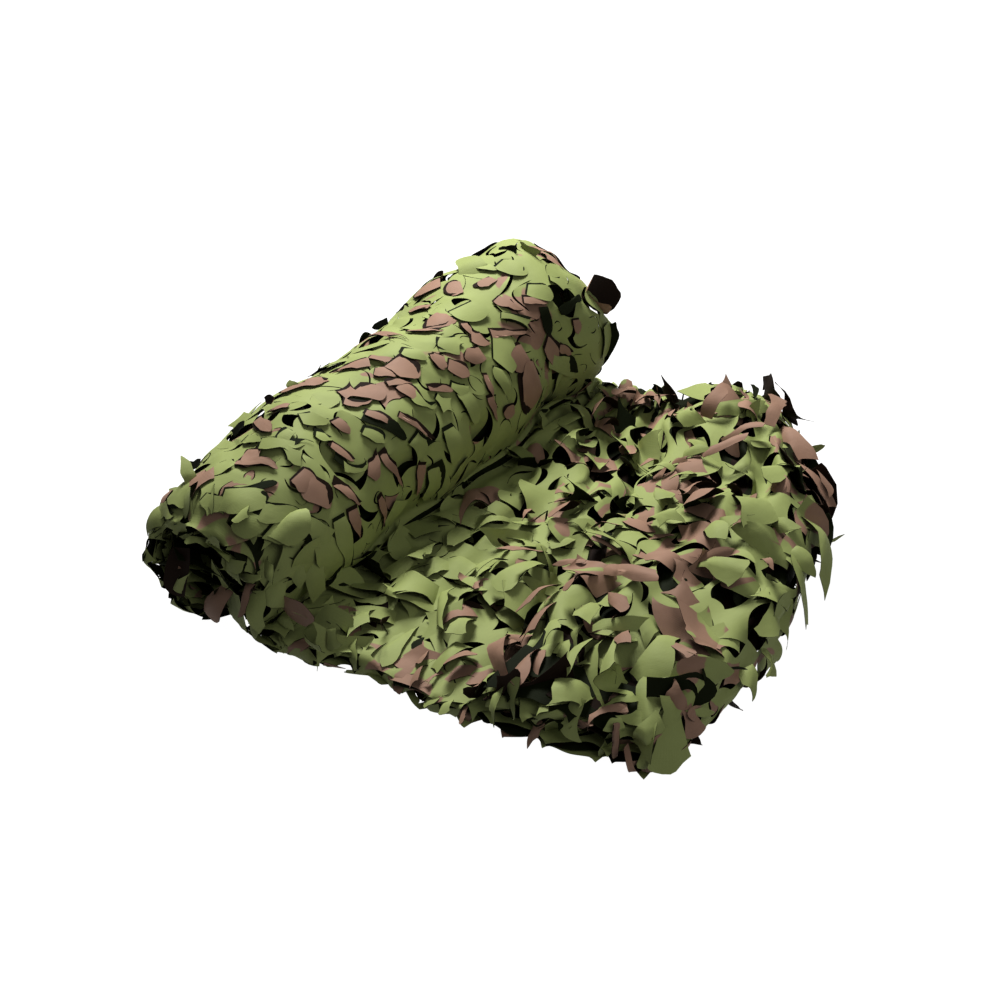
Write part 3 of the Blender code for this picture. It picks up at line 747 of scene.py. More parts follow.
gather = {
    "step": (0.002, 0.006),  # spacing of the table, across and along
    "margin": (0.02, 0.04),
    # how the folds wander: share of a wave, stretch across, and length of the noise
    "wander": ((0.35, 0.3, 0.11), (0.6, 0.4, 0.30)),
    "steepness": (0.60, 0.55, 0.085),  # least, how much more, and over what length that changes
}


def gatherFolds(width, low, high, amplitude, length, seed):
    # Folds that run along the roll: a table of how far across each flat place comes to lie, and how high.
    noise = cloudNoise(seed)
    step, (marginAcross, marginAlong) = gather["step"], gather["margin"]
    s = np.arange(-marginAcross, width + marginAcross, step[0])
    v = np.arange(low - marginAlong, high + marginAlong, step[1])
    ss, vv = np.meshgrid(s, v, indexing="ij")
    waves = ss / length
    for share, stretch, reach in gather["wander"]:
        waves = waves + share * noise(ss * stretch, vv, reach)
    least, more, reach = gather["steepness"]
    slope = amplitude * (least + more * noise(ss, vv, reach)) * np.sin(2 * np.pi * waves)
    across, height = np.cumsum(np.cos(slope), axis=0) * step[0], np.cumsum(np.sin(slope), axis=0) * step[0]
    window = max(3, int(length / step[0]))
    padded = np.pad(height, ((window // 2, window - 1 - window // 2), (0, 0)), mode="edge")
    total = np.cumsum(np.concatenate((np.zeros((1, len(v))), padded)), axis=0)
    height = height - (total[window:] - total[:-window]) / window
    table = np.stack((across, height, slope), -1)

    def at(place):
        i = np.clip((place[:, 0] - s[0]) / step[0], 0, len(s) - 1.001)
        j = np.clip((place[:, 1] - v[0]) / step[1], 0, len(v) - 1.001)
        return readTable(table, i, j).T

    return at, float(across[-1].mean())


# Materials.
def linear(hexColour):
    values = [int(hexColour[k:k + 2], 16) / 255 for k in (1, 3, 5)]
    return tuple(v / 12.92 if v <= 0.04045 else ((v + 0.055) / 1.055) ** 2.4 for v in values) + (1.0,)


def addNode(tree, kind, settings, links=None):
    # settings and links are by input name or number, and node properties by name
    node = tree.nodes.new(kind)
    for name, value in settings.items():
        if isinstance(name, int) or name in node.inputs:
            node.inputs[name].default_value = value
        else:
            setattr(node, name, value)
    for name, source in (links or {}).items():
        tree.links.new(source, node.inputs[name])
    return node


clothLook = {
    "green": "#a3ad72",
    "greenDeep": "#969f65",
    "brown": "#a98a77",
    "brownDeep": "#967967",
    # the reverse's colours: the real dark back, darkened further as painted shade
    "reverseGreen": "#1e2411",
    "reverseBrown": "#2b1f18",
    "roughness": 0.62,
    "reverseRoughness": 0.70,
    "specular": 0.10,
    "reverseSpecular": 0.06,
    # the print's brown patches, the faint clouding of both colours and the creases: metres from one to the
    # next, detail, roughness and distortion of their noise
    "noises": ((0.085, 1.6, 0.45, 0.9), (1 / 22.0, 4.0, 0.6, 0.0), (1 / 90.0, 3.0, 0.55, 0.0)),
    "patchEdge": 0.018,
    "patchSpread": 0.095,  # the print noise's own spread, the unit of the brownness value
    "threadWidth": 0.0011,  # real threads are 0.3 mm wide: drawn this coarse so that they show at all
    "threadStray": 0.4,
    "threadBump": (0.16, 0.0002),  # strength and depth
    "creaseBump": (0.5, 0.0005),
}


def printedCloth(name, colours, roughness, specular):
    # Plain-woven coated polyester, roller-printed in two colours: flat matt colour that clouds a little,
    # fine creases, and a faint thread grain.
    green, greenDeep, brown, brownDeep = (linear(clothLook[colour]) for colour in colours)
    material = bpy.data.materials.new(name)
    material.use_nodes = True
    tree = material.node_tree
    shader = tree.nodes["Principled BSDF"]
    flatMap = addNode(tree, "ShaderNodeUVMap", {"uv_map": "flat"}).outputs["UV"]
    brownness = addNode(tree, "ShaderNodeAttribute", {"attribute_name": "brownness"}).outputs["Fac"]
    patches, clouds, creases = (
        addNode(tree, "ShaderNodeTexNoise", {
            "noise_dimensions": "2D", "Scale": 1 / size, "Detail": detail, "Roughness": rough,
            "Distortion": bent}, {"Vector": flatMap}).outputs[0]
        for size, detail, rough, bent in clothLook["noises"])
    shifted = addNode(tree, "ShaderNodeMath", {"operation": "MULTIPLY_ADD", 1: clothLook["patchSpread"]},
                      {0: brownness, 2: patches})
    edge = addNode(tree, "ShaderNodeValToRGB", {}, {"Fac": shifted.outputs[0]})
    edge.color_ramp.elements[0].position = 0.5
    edge.color_ramp.elements[1].position = 0.5 + clothLook["patchEdge"]
    greens = addNode(tree, "ShaderNodeMix", {"data_type": "RGBA", 6: green, 7: greenDeep}, {0: clouds})
    browns = addNode(tree, "ShaderNodeMix", {"data_type": "RGBA", 6: brown, 7: brownDeep}, {0: clouds})
    colour = addNode(tree, "ShaderNodeMix", {"data_type": "RGBA"},
                     {0: edge.outputs["Color"], 6: greens.outputs[2], 7: browns.outputs[2]})
    tree.links.new(colour.outputs[2], shader.inputs["Base Color"])
    threads = [addNode(tree, "ShaderNodeTexWave", {
        "bands_direction": axis, "Scale": math.pi / clothLook["threadWidth"] / 20,
        "Distortion": clothLook["threadStray"]},
        {"Vector": flatMap}).outputs[1] for axis in ("X", "Y")]
    weave = addNode(tree, "ShaderNodeMath", {"operation": "ADD"}, {0: threads[0], 1: threads[1]})
    strength, depth = clothLook["threadBump"]
    fine = addNode(tree, "ShaderNodeBump", {"Strength": strength, "Distance": depth},
                   {"Height": weave.outputs[0]})
    strength, depth = clothLook["creaseBump"]
    bump = addNode(tree, "ShaderNodeBump", {"Strength": strength, "Distance": depth},
                   {"Height": creases, "Normal": fine.outputs[0]})
    tree.links.new(bump.outputs[0], shader.inputs["Normal"])
    shader.inputs["Roughness"].default_value = roughness
    shader.inputs["Specular IOR Level"].default_value = specular
    return material


printedPolyester = printedCloth("printedPolyester", ("green", "greenDeep", "brown", "brownDeep"),
                                clothLook["roughness"], clothLook["specular"])
# the same cloth's coated back, nearly black and duller still: its real dark colour, darkened further as
# painted shade so that the gaps where it shows read black
coatedReverse = printedCloth("coatedReverse", ("reverseGreen",) * 2 + ("reverseBrown",) * 2,
                             clothLook["reverseRoughness"], clothLook["reverseSpecular"])
print("materials made")


# Plies.
ply = {
    "thickness": 0.0005,
    "overlap": 0.006,  # the roll's cloth starts and ends this far past the roll's own measure
    "cloth": -1.9,  # brownness of the cloth between leaves, in spreads of the print's noise
    "greenLeaf": -2.0,
    "brownLeaf": 2.0,
    "chartedLeaf": 3.4,  # either way, so that a charted leaf is of one colour
    "inPatch": 0.85,  # share of leaves that are brown within a brown patch
    "patchCloth": 0.8,  # what a brown patch adds to the cloth between leaves
    "patchFull": 0.5,  # share of its radius up to which a patch is at its brownest
    "backHeight": 0.0003,  # least height of the reverse over the floor
    "printRun": 2.0,  # a ply is cut from anywhere on this much of the print
}
# where the print's brown patches come to lie: x, y, z, radius
brownPatches = np.array((
    (0.285, 0.228, 0.088, 0.041),
    (0.185, 0.266, 0.036, 0.032),
    (0.190, 0.163, 0.037, 0.032),
    (0.375, 0.120, 0.081, 0.049),
    (0.407, 0.227, 0.085, 0.041),
    (0.350, -0.024, 0.074, 0.039),
    (0.357, -0.118, 0.069, 0.049),
    (0.338, -0.195, 0.068, 0.049),
    (0.309, -0.234, 0.037, 0.044),
    (0.263, -0.274, 0.030, 0.037),
    (0.235, -0.304, 0.022, 0.044),
    (0.461, -0.311, 0.050, 0.037),
    (0.509, -0.205, 0.082, 0.032),
    (0.434, 0.136, 0.091, 0.049),
    (0.316, 0.266, 0.093, 0.037),
))


def brownnessOf(cloth, points, brownLeaves, rng):
    # a value for each point, which moves the print's noise towards brown or green
    away = np.linalg.norm(points[:, None] - brownPatches[None, :, :3], axis=2) / brownPatches[:, 3]
    inside = 1 - smoothstep(away.min(axis=1) - ply["patchFull"])
    value = ply["cloth"] + ply["patchCloth"] * inside
    leafOf, count = cloth["leafOf"], len(cloth["leaves"])
    on = leafOf >= 0
    members = np.maximum(np.bincount(leafOf[on], minlength=count), 1)
    leafInside = np.bincount(leafOf[on], weights=inside[on], minlength=count) / members
    brown = rng.random(count) < mix(brownLeaves, ply["inPatch"], leafInside)
    known = np.array([leaf.get("brown", -1) for leaf in cloth["leaves"]])
    leafValue = np.where(brown, ply["brownLeaf"], ply["greenLeaf"])
    leafValue = np.where(known < 0, leafValue, np.where(known > 0, 1, -1) * ply["chartedLeaf"])
    value[on] = leafValue[leafOf[on]]
    return value


def shell(name, points, faces, flat, brownness):
    # cloth with a printed face, a dark reverse and a cut edge that shows the reverse's colour, partly painted
    # shade that outlines the cuts
    count = len(points)
    corners = points[faces]
    across = np.cross(corners[:, 1] - corners[:, 0], corners[:, 2] - corners[:, 0])
    normal = np.stack([np.bincount(faces.ravel(), weights=np.repeat(across[:, k], 3), minlength=count)
                       for k in range(3)], 1)
    normal /= np.linalg.norm(normal, axis=1, keepdims=True) + 1e-12
    back = points - normal * ply["thickness"]
    back[:, 2] = np.maximum(back[:, 2], ply["backHeight"])
    edges = np.concatenate((faces[:, (0, 1)], faces[:, (1, 2)], faces[:, (2, 0)]))
    keys = edges[:, 0] * count + edges[:, 1]
    cutEdge = edges[~np.isin(keys, edges[:, 1] * count + edges[:, 0])]
    rim = np.concatenate((cutEdge[:, ::-1], cutEdge + count), 1)
    rim = np.concatenate((rim[:, (0, 1, 2)], rim[:, (0, 2, 3)]))
    faces = np.concatenate((faces, faces[:, ::-1] + count, rim))
    front = len(corners)
    mesh = bpy.data.meshes.new(name)
    mesh.vertices.add(2 * count)
    mesh.vertices.foreach_set("co", np.concatenate((points, back)).astype(np.float32).ravel())
    mesh.loops.add(faces.size)
    mesh.loops.foreach_set("vertex_index", faces.astype(np.int32).ravel())
    mesh.polygons.add(len(faces))
    mesh.polygons.foreach_set("loop_start", np.arange(0, faces.size, 3, dtype=np.int32))
    # the back and the cut edge take the reverse's material; on the cut edge its near-black colour is partly
    # painted shade, drawing dark outlines round the cuts
    mesh.polygons.foreach_set("material_index", (np.arange(len(faces)) >= front).astype(np.int32))
    mesh.polygons.foreach_set("use_smooth", np.arange(len(faces)) < 2 * front)
    mesh.update(calc_edges=True)
    ends = np.empty(2 * len(mesh.edges), np.int32)
    mesh.edges.foreach_get("vertices", ends)
    ends = np.sort(ends.reshape(-1, 2).astype(np.int64), axis=1)
    cutEdge = np.sort(np.concatenate((cutEdge, cutEdge + count)), axis=1)
    sharp = np.isin(ends[:, 0] * 2 * count + ends[:, 1], cutEdge[:, 0] * 2 * count + cutEdge[:, 1])
    mesh.attributes.new("sharp_edge", "BOOLEAN", "EDGE").data.foreach_set("value", sharp)
    both = np.concatenate((brownness, brownness)).astype(np.float32)
    mesh.attributes.new("brownness", "FLOAT", "POINT").data.foreach_set("value", both)
    places = np.concatenate((flat, flat)).astype(np.float32)
    mesh.uv_layers.new(name="flat").uv.foreach_set("vector", places[faces].ravel())
    mesh.materials.append(printedPolyester)
    mesh.materials.append(coatedReverse)
    piece = bpy.data.objects.new(name, mesh)
    bpy.context.scene.collection.objects.link(piece)
    return piece


def flatArea(flat, faces):
    corners = flat[faces]
    sides = corners[:, 1:] - corners[:, :1]
    return float(np.abs(sides[:, 0, 0] * sides[:, 1, 1] - sides[:, 0, 1] * sides[:, 1, 0]).sum() / 2)


def makePly(name, cloth, points, turned=False, brownLeaves=0.07):
    # a finished piece of cloth
    faces = cloth["faces"][:, ::-1] if turned else cloth["faces"]
    rng = np.random.default_rng(len(points))
    values = brownnessOf(cloth, points, brownLeaves, rng)
    piece = shell(name, points, faces, cloth["flat"] + rng.uniform(0, ply["printRun"], 2), values)
    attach(piece, "root")
    # Where flaps lie over a ply, the first size isn't its cut: it is raised until their cloth fits in it too.
    print(name, len(faces), "faces")
    return piece


# How leaves and flaps lie. Each pair is the least and the greatest; kinks, curls and slopes are in degrees,
# folds and creases by their place, the way they turn and how far they bend.
tightLeaf = {
    "pull": (0.05, 0.17),  # how much shorter a leaf gets as the cloth is pulled
    "twist": (-0.12, 0.12),
    "creaseTurn": (-1.2, 1.2),
    "crease": (-0.15, 0.25),
    "ways": (  # share of the leaves up to and with this way, kink at the hinge, curl, and what else differs
        (0.28, (2, 9), (-10, 8), {"pull": (0.02, 0.08)}),  # nearly flat
        (0.62, (-30, -12), (-6, 10), {}),  # pressed in
        (0.78, (-16, 6), (-10, 10), {"pull": (0.18, 0.30)}),  # drawn back from the slit
        (1.00, (14, 34), (-36, -4), {"twist": (-0.3, 0.3)}),  # open at the slit
    ),
}
looseLeaf = {
    "pull": (0.06, 0.20),
    "twist": (-0.25, 0.25),
    "creaseTurn": (-1.4, 1.4),
    "crease": (-0.7, 0.6),
    "ways": (
        (0.30, (-35, -10), (-10, 6), {}),  # hanging
        (1.00, (4, 34), (-18, 8), {}),  # standing and leaning
    ),
}
slackFlap = {  # a flat plate with one sharp fold, or now and then a curl
    "slope": ((4, 26), (-5, 5), (-14, 8)),  # at the root, then how much more at the middle and the tip
    "fold": ((0.25, 0.6), (-0.3, 3.4), (-55, 55)),
    "curled": 0.3,  # share of flaps
    "curl": ((20, 55), (-5, 25), (-50, 5)),  # slope at the root, the middle and the tip
    "width": (0.65, 1.2),
    "twist": (-18, 18),
}
pressedFlap = {
    "width": (0.55, 1.1),
    "twist": (-8, 8),
    "fold": ((0.3, 0.6), (0, 3.1), (-14, 18)),
    "curl": ((16, 30), (0, 9), (-9, 6)),
}


def leafBend(look, rng):
    return {name: rng.uniform(*look[name]) for name in ("pull", "twist", "creaseTurn", "crease")}


def leafWay(look, bend, chance, rng):
    kink, curl, others = next(way[1:] for way in look["ways"] if chance < way[0])
    bend |= {"kink": math.radians(rng.uniform(*kink)), "curl": math.radians(rng.uniform(*curl))}
    return bend | {name: rng.uniform(*span) for name, span in others.items()}


def tightPose(rng):
    # leaves on the tight roll
    chance = rng.random()
    return leafWay(tightLeaf, leafBend(tightLeaf, rng), chance, rng)


def loosePose(rng):
    # leaves on the slack, folded part
    bend = leafBend(looseLeaf, rng)
    return leafWay(looseLeaf, bend, rng.random(), rng)


def drawFold(look, rng):
    place, turn, angle = look["fold"]
    return rng.uniform(*place), rng.uniform(*turn), math.radians(rng.uniform(*angle))


def drawTurned(look, rng):
    return {"width": rng.uniform(*look["width"]), "twist": math.radians(rng.uniform(*look["twist"]))}


def looseFlap(rng):
    first, middle, tip = (rng.uniform(*span) for span in slackFlap["slope"])
    angles, folds = (first, first + middle, first + tip), (drawFold(slackFlap, rng),)
    if rng.random() < slackFlap["curled"]:
        angles, folds = tuple(rng.uniform(*span) for span in slackFlap["curl"]), ()
    return drawTurned(slackFlap, rng) | {"folds": folds, "angles": tuple(map(math.radians, angles))}


def tightFlap(rng):
    return drawTurned(pressedFlap, rng) | {
        "folds": (drawFold(pressedFlap, rng),),
        "angles": tuple(math.radians(rng.uniform(*span)) for span in pressedFlap["curl"])}


relief = {
    "roll": (0.060, 0.35, 0.024),  # length of the unevenness, then share and length of a finer one
    "pad": (0.003, 0.06),  # height and length
    "padMeasure": (0.02, 200),  # where along the roll the pad's span is measured, and in how many steps
}


def rollPly(name, seed, height, over, rough, missing=(0, 0), flaps=None, hollows=(), chart=(), **options):
    # a ply wound round the roll; over is how far it stands out at both ends, rough how uneven it lies
    width = parts["ground"][0] + 2 * ply["overlap"]
    low, high = near - over, far + over
    cloth = cutCloth(width, low, high, seed, "tightLeaves", missing, hollows=hollows)
    place, lift = liftLeaves(cloth, tightPose)
    spots = None
    if chart:
        rows = np.array(chart) / 1000
        spots = (rows[:, :2] + rows[:, 2:4]) / 2 + (ply["overlap"], 0)  # the middles of the charted leaves
        away = np.linalg.norm(cloth["flat"][:, None] - spots, axis=2).min(axis=1)
        lift *= np.where(lift > 0, 1 - charted["calmed"] * np.exp(-((away / charted["calm"]) ** 2)), 1)
    if flaps:
        place, lift = addFlaps(cloth, place, lift, keepOff=spots, **flaps)
    if chart:
        place, lift = addCharted(cloth, place, lift, chart)
    soft = cloudNoise(seed + 1)
    length, share, fineLength = relief["roll"]
    lift = lift + height + rough * soft(place[:, 0], place[:, 1], length)
    lift += share * rough * soft(place[:, 1], place[:, 0], fineLength)
    return makePly(name, cloth, onNet(place[:, 0] - ply["overlap"], place[:, 1], lift), **options)


def padPly(name, seed, startAcross, endAcross, height, over, slope, foldLength, faceDown=False,
           missing=(0, 0), flaps=None, hollows=(), **options):
    # a ply of the loose end, gathered into folds that run along the roll, foldLength apart
    direction = 1 if endAcross > startAcross else -1
    covered = abs(endAcross - startAcross)
    at, steps = relief["padMeasure"]
    line = onNet(np.linspace(startAcross, endAcross, steps), np.full(steps, at), np.full(steps, height))
    width = float(np.linalg.norm(np.diff(line, axis=0), axis=1).sum()) * (1 + slope**2 / 5)  # with its folds
    low, high = near - over, far + over
    cloth = cutCloth(width, low, high, seed, missing=missing, hollows=hollows)
    place, lift = liftLeaves(cloth, loosePose)
    if flaps:
        place, lift = addFlaps(cloth, place, lift, **flaps)
    at, reach = gatherFolds(width, low, high, slope, foldLength, seed + 1)
    across, up, tilt = at(place)
    soft = cloudNoise(seed + 2)
    rough, length = relief["pad"]
    across = startAcross + direction * (across * covered / reach - lift * np.sin(tilt))
    total = height + up + lift * np.cos(tilt) + rough * soft(place[:, 0], place[:, 1], length)
    points = onNet(across, place[:, 1], total)
    return makePly(name, cloth, points, turned=(direction > 0) != faceDown, **options)


charted = {
    "calm": 0.026,  # how far round a charted leaf the cloth lies flat
    "calmed": 0.92,  # how much lower its own leaves lie there
    # gap, rim, shift and under size and place the dark copy under each charted leaf: a painted shadow whose
    # edge shows beside the leaf as a dark gap
    "gap": (0.3, 1.0),  # how much of the next two a leaf has
    "rim": 0.002,  # how much larger the dark leaf under a brown one is
    "shift": (0.0045, 0.002),  # how far across and along the dark one lies off
    "under": 0.0018,  # height of the dark one, and of the leaf itself
    "over": 0.0034,
    "flatter": 0.3,  # the dark one's own relief, beside the leaf's
    "twist": (-0.08, 0.08),
    "fold": ((0.3, 0.6), (-0.6, 0.6), (-0.22, 0.05)),  # place, turn and angle
    "angles": (0.10, 0.0, -0.16),  # slope at the root, the middle and the tip
}
# leaves that show on the roll, in millimetres across and along it: root, tip, width, then the shape in
# flapChart and the kind: 0 green, 1 brown, 2 dark side out alone, painted shade of an open hole
rollChart = (
    (261, 191, 286, 172, 31, 8, 1),
    (241, 136, 274, 138, 12, 8, 1),
    (206, 121, 218, 84, 29, 6, 1),
    (277, 58, 216, 32, 12, 1, 1),
    (227, 62, 194, 87, 8, 0, 1),
    (218, -21, 248, -44, 18, 0, 1),
    (223, -12, 194, -10, 16, 1, 1),
    (199, -7, 166, -9, 37, 8, 1),
    (205, -34, 183, -25, 17, 8, 1),
    (182, -45, 164, -20, 9, 6, 1),
    (177, 36, 156, 29, 12, 8, 1),
    (159, 41, 135, 56, 21, 8, 1),
    (150, 99, 154, 68, 19, 8, 1),
    (173, -37, 138, -31, 19, 6, 1),
    (207, -93, 199, -69, 33, 1, 1),
    (205, -68, 173, -66, 26, 8, 1),
    (199, -100, 176, -87, 17, 3, 1),
    (197, -90, 181, -77, 5, 6, 2),
    (244, -71, 248, -105, 15, 8, 1),
    (248, -99, 265, -118, 12, 8, 1),
    (172, -104, 123, -84, 17, 8, 2),
    (173, -98, 143, -87, 10, 6, 1),
    (147, -74, 100, -51, 9, 0, 1),
    (224, -153, 246, -161, 10, 6, 1),
    (254, -171, 219, -197, 13, 8, 1),
    (182, -137, 162, -137, 16, 6, 1),
    (225, -221, 220, -249, 21, 8, 1),
    (235, -245, 187, -233, 9, 8, 1),
    (249, -263, 264, -277, 42, 1, 1),
    (261, -266, 280, -284, 23, 8, 1),
    (304, -277, 313, -291, 20, 8, 1),
    (211, -280, 174, -250, 12, 8, 2),
    (163, -168, 135, -158, 12, 6, 1),
    (153, -175, 138, -168, 14, 6, 2),
    (112, -151, 127, -121, 15, 0, 1),
    (124, -120, 72, -116, 11, 0, 1),
    (164, -230, 141, -233, 25, 8, 1),
    (152, -232, 117, -226, 27, 8, 1),
    (134, -203, 98, -187, 14, 0, 1),
    (101, -200, 66, -204, 19, 0, 1),
    (88, -152, 40, -148, 9, 6, 1),
    (85, -77, 50, -92, 18, 3, 1),
    (150, -9, 132, 23, 7, 8, 1),
    (129, 79, 103, 71, 9, 8, 1),
    (105, 66, 76, 63, 14, 0, 1),
    (182, 186, 149, 189, 15, 0, 1),
    (158, 205, 138, 226, 11, 6, 1),
    (186, 116, 172, 108, 11, 6, 1),
    (171, 106, 149, 120, 21, 0, 1),
    (159, 136, 124, 177, 13, 0, 1),
    (115, 158, 117, 127, 27, 8, 1),
    (103, 197, 72, 215, 25, 8, 1),
    (82, 162, 78, 118, 51, 8, 1),
    (114, 254, 98, 252, 13, 6, 1),
    (89, 222, 78, 242, 10, 6, 1),
    (77, 102, 79, 82, 13, 8, 1),
    (226, 184, 239, 171, 31, 8, 1),
    (209, 217, 212, 192, 14, 8, 1),
    (173, 42, 160, 25, 15, 8, 1),
    (200, -167, 181, -144, 20, 0, 0),
    (221, -214, 168, -204, 29, 1, 0),
    (212, -292, 167, -270, 28, 8, 0),
    (139, -7, 113, 2, 26, 7, 0),
    (155, -35, 128, -30, 26, 3, 0),
    (175, 86, 177, 50, 28, 2, 0),
    (203, 143, 177, 135, 48, 8, 0),
    (229, 126, 203, 116, 19, 0, 0),
    (247, 233, 213, 233, 16, 0, 0),
    (220, 244, 185, 239, 20, 8, 0),
    (163, 256, 144, 273, 21, 7, 0),
    (166, 221, 143, 236, 23, 8, 0),
    (148, 122, 116, 142, 46, 8, 0),
    (84, 193, 50, 255, 22, 8, 0),
    (163, 168, 125, 190, 19, 1, 0),
    (200, 14, 176, 23, 17, 6, 0),
    (197, -188, 201, -208, 13, 8, 0),
    (199, -93, 180, -82, 10, 8, 2),
    (139, 217, 109, 205, 14, 8, 2),
    (127, 235, 133, 284, 9, 8, 2),
    (140, -175, 117, -153, 19, 3, 0),
    (125, -258, 68, -246, 28, 7, 0),
    (166, -279, 125, -261, 20, 8, 0),
    (101, -223, 24, -227, 29, 3, 0),
    (75, -60, 22, -58, 30, 8, 0),
    (104, -22, 65, -27, 26, 8, 0),
    (126, 31, 87, 26, 24, 8, 0),
    (181, -293, 149, -290, 19, 8, 0),
    (144, -286, 101, -280, 22, 3, 0),
    (234, -293, 199, -301, 17, 7, 0),
    (294, -282, 253, -303, 24, 8, 0),
    (316, -297, 270, -312, 16, 0, 0),
    (192, -210, 167, -220, 17, 2, 0),
    (180, -171, 164, -163, 19, 0, 0),
    (251, -202, 223, -211, 14, 6, 0),
    (91, -250, 14, -238, 27, 8, 0),
    (117, -77, 89, -68, 43, 1, 0),
    (157, -120, 132, -109, 13, 8, 0),
    (139, 24, 113, 40, 20, 7, 0),
    (125, 109, 100, 92, 31, 6, 0),
    (58, 223, 31, 204, 15, 3, 0),
)

mouthSide = (0.136, 0.034, 0.045)  # where the near end lies further in: place across, reach, depth
slotMouth = 0.172
pressedFlaps = {"pitch": 0.046, "sizes": (0.030, 0.050), "heading": (0.0, 1.5, 1.2), "pose": tightFlap,
                "share": 0.85}
looseFlaps = {"pitch": 0.036, "sizes": (0.038, 0.066), "heading": (-0.9, 1.2, 0.5), "pose": looseFlap,
              "share": 0.62}
foldSpan = parts["fold"][0] - 0.02, parts["lip"][1] - 0.01
tailSpan = roundLength + 0.010, roundLength - 0.27
bareSpots = np.array(((0.170, 0.315), (0.195, 0.315)))  # no flap stands here, at the fold's far edge

# the roll's plies from the inside out: seed, height over the skin, overhang at the ends, unevenness
# rollInner and rollSecond show their near-black reverse outward, not the print as the outer ply does: painted
# shade seen through its cuts
rollPly("rollInner", 13, -0.022, 0.020, 0.003, brownLeaves=0.5)
rollPly("rollSecond", 12, -0.012, 0.028, 0.004, missing=(0.2, 0.3), hollows=(mouthSide,))
rollPly("rollOuter", 11, 0.001, 0.030, 0.0045, missing=(0.06, 0.5), turned=True, hollows=(mouthSide,),
        brownLeaves=0.1, chart=rollChart, flaps=pressedFlaps)

# the loose end's plies: seed, span round the section, height over the skin, overhang, steepness and
# length of the folds
padPly("foldThird", 33, *foldSpan, -0.038, 0.010, 0.4, 0.070, hollows=((slotMouth, 0.024, 0.040),))
# foldSecond and tailSecond lie reverse side up; their near-black reverse is partly painted shade in the gaps
# of the plies over them
padPly("foldSecond", 32, *foldSpan, -0.026, 0.018, 0.6, 0.060, faceDown=True, missing=(0.15, 0),
       brownLeaves=0.5, hollows=((slotMouth, 0.026, 0.055),))
padPly("foldOuter", 31, *foldSpan, -0.008, 0.032, 0.65, 0.066, missing=(0.46, -0.3), brownLeaves=0.42,
       flaps=looseFlaps | {"keepOff": bareSpots}, hollows=((slotMouth, 0.030, 0.070),))
padPly("tailThird", 36, *tailSpan, -0.022, 0.0, 0.4, 0.060)
padPly("tailSecond", 35, *tailSpan, -0.016, 0.004, 0.4, 0.055, faceDown=True, missing=(0.15, 0),
       brownLeaves=0.5)
padPly("tailTop", 34, *tailSpan, -0.006, 0.020, 0.6, 0.058, missing=(0.45, 0), brownLeaves=0.24,
       flaps=looseFlaps | {"heading": (-2.2, 1.2, 0.5)})

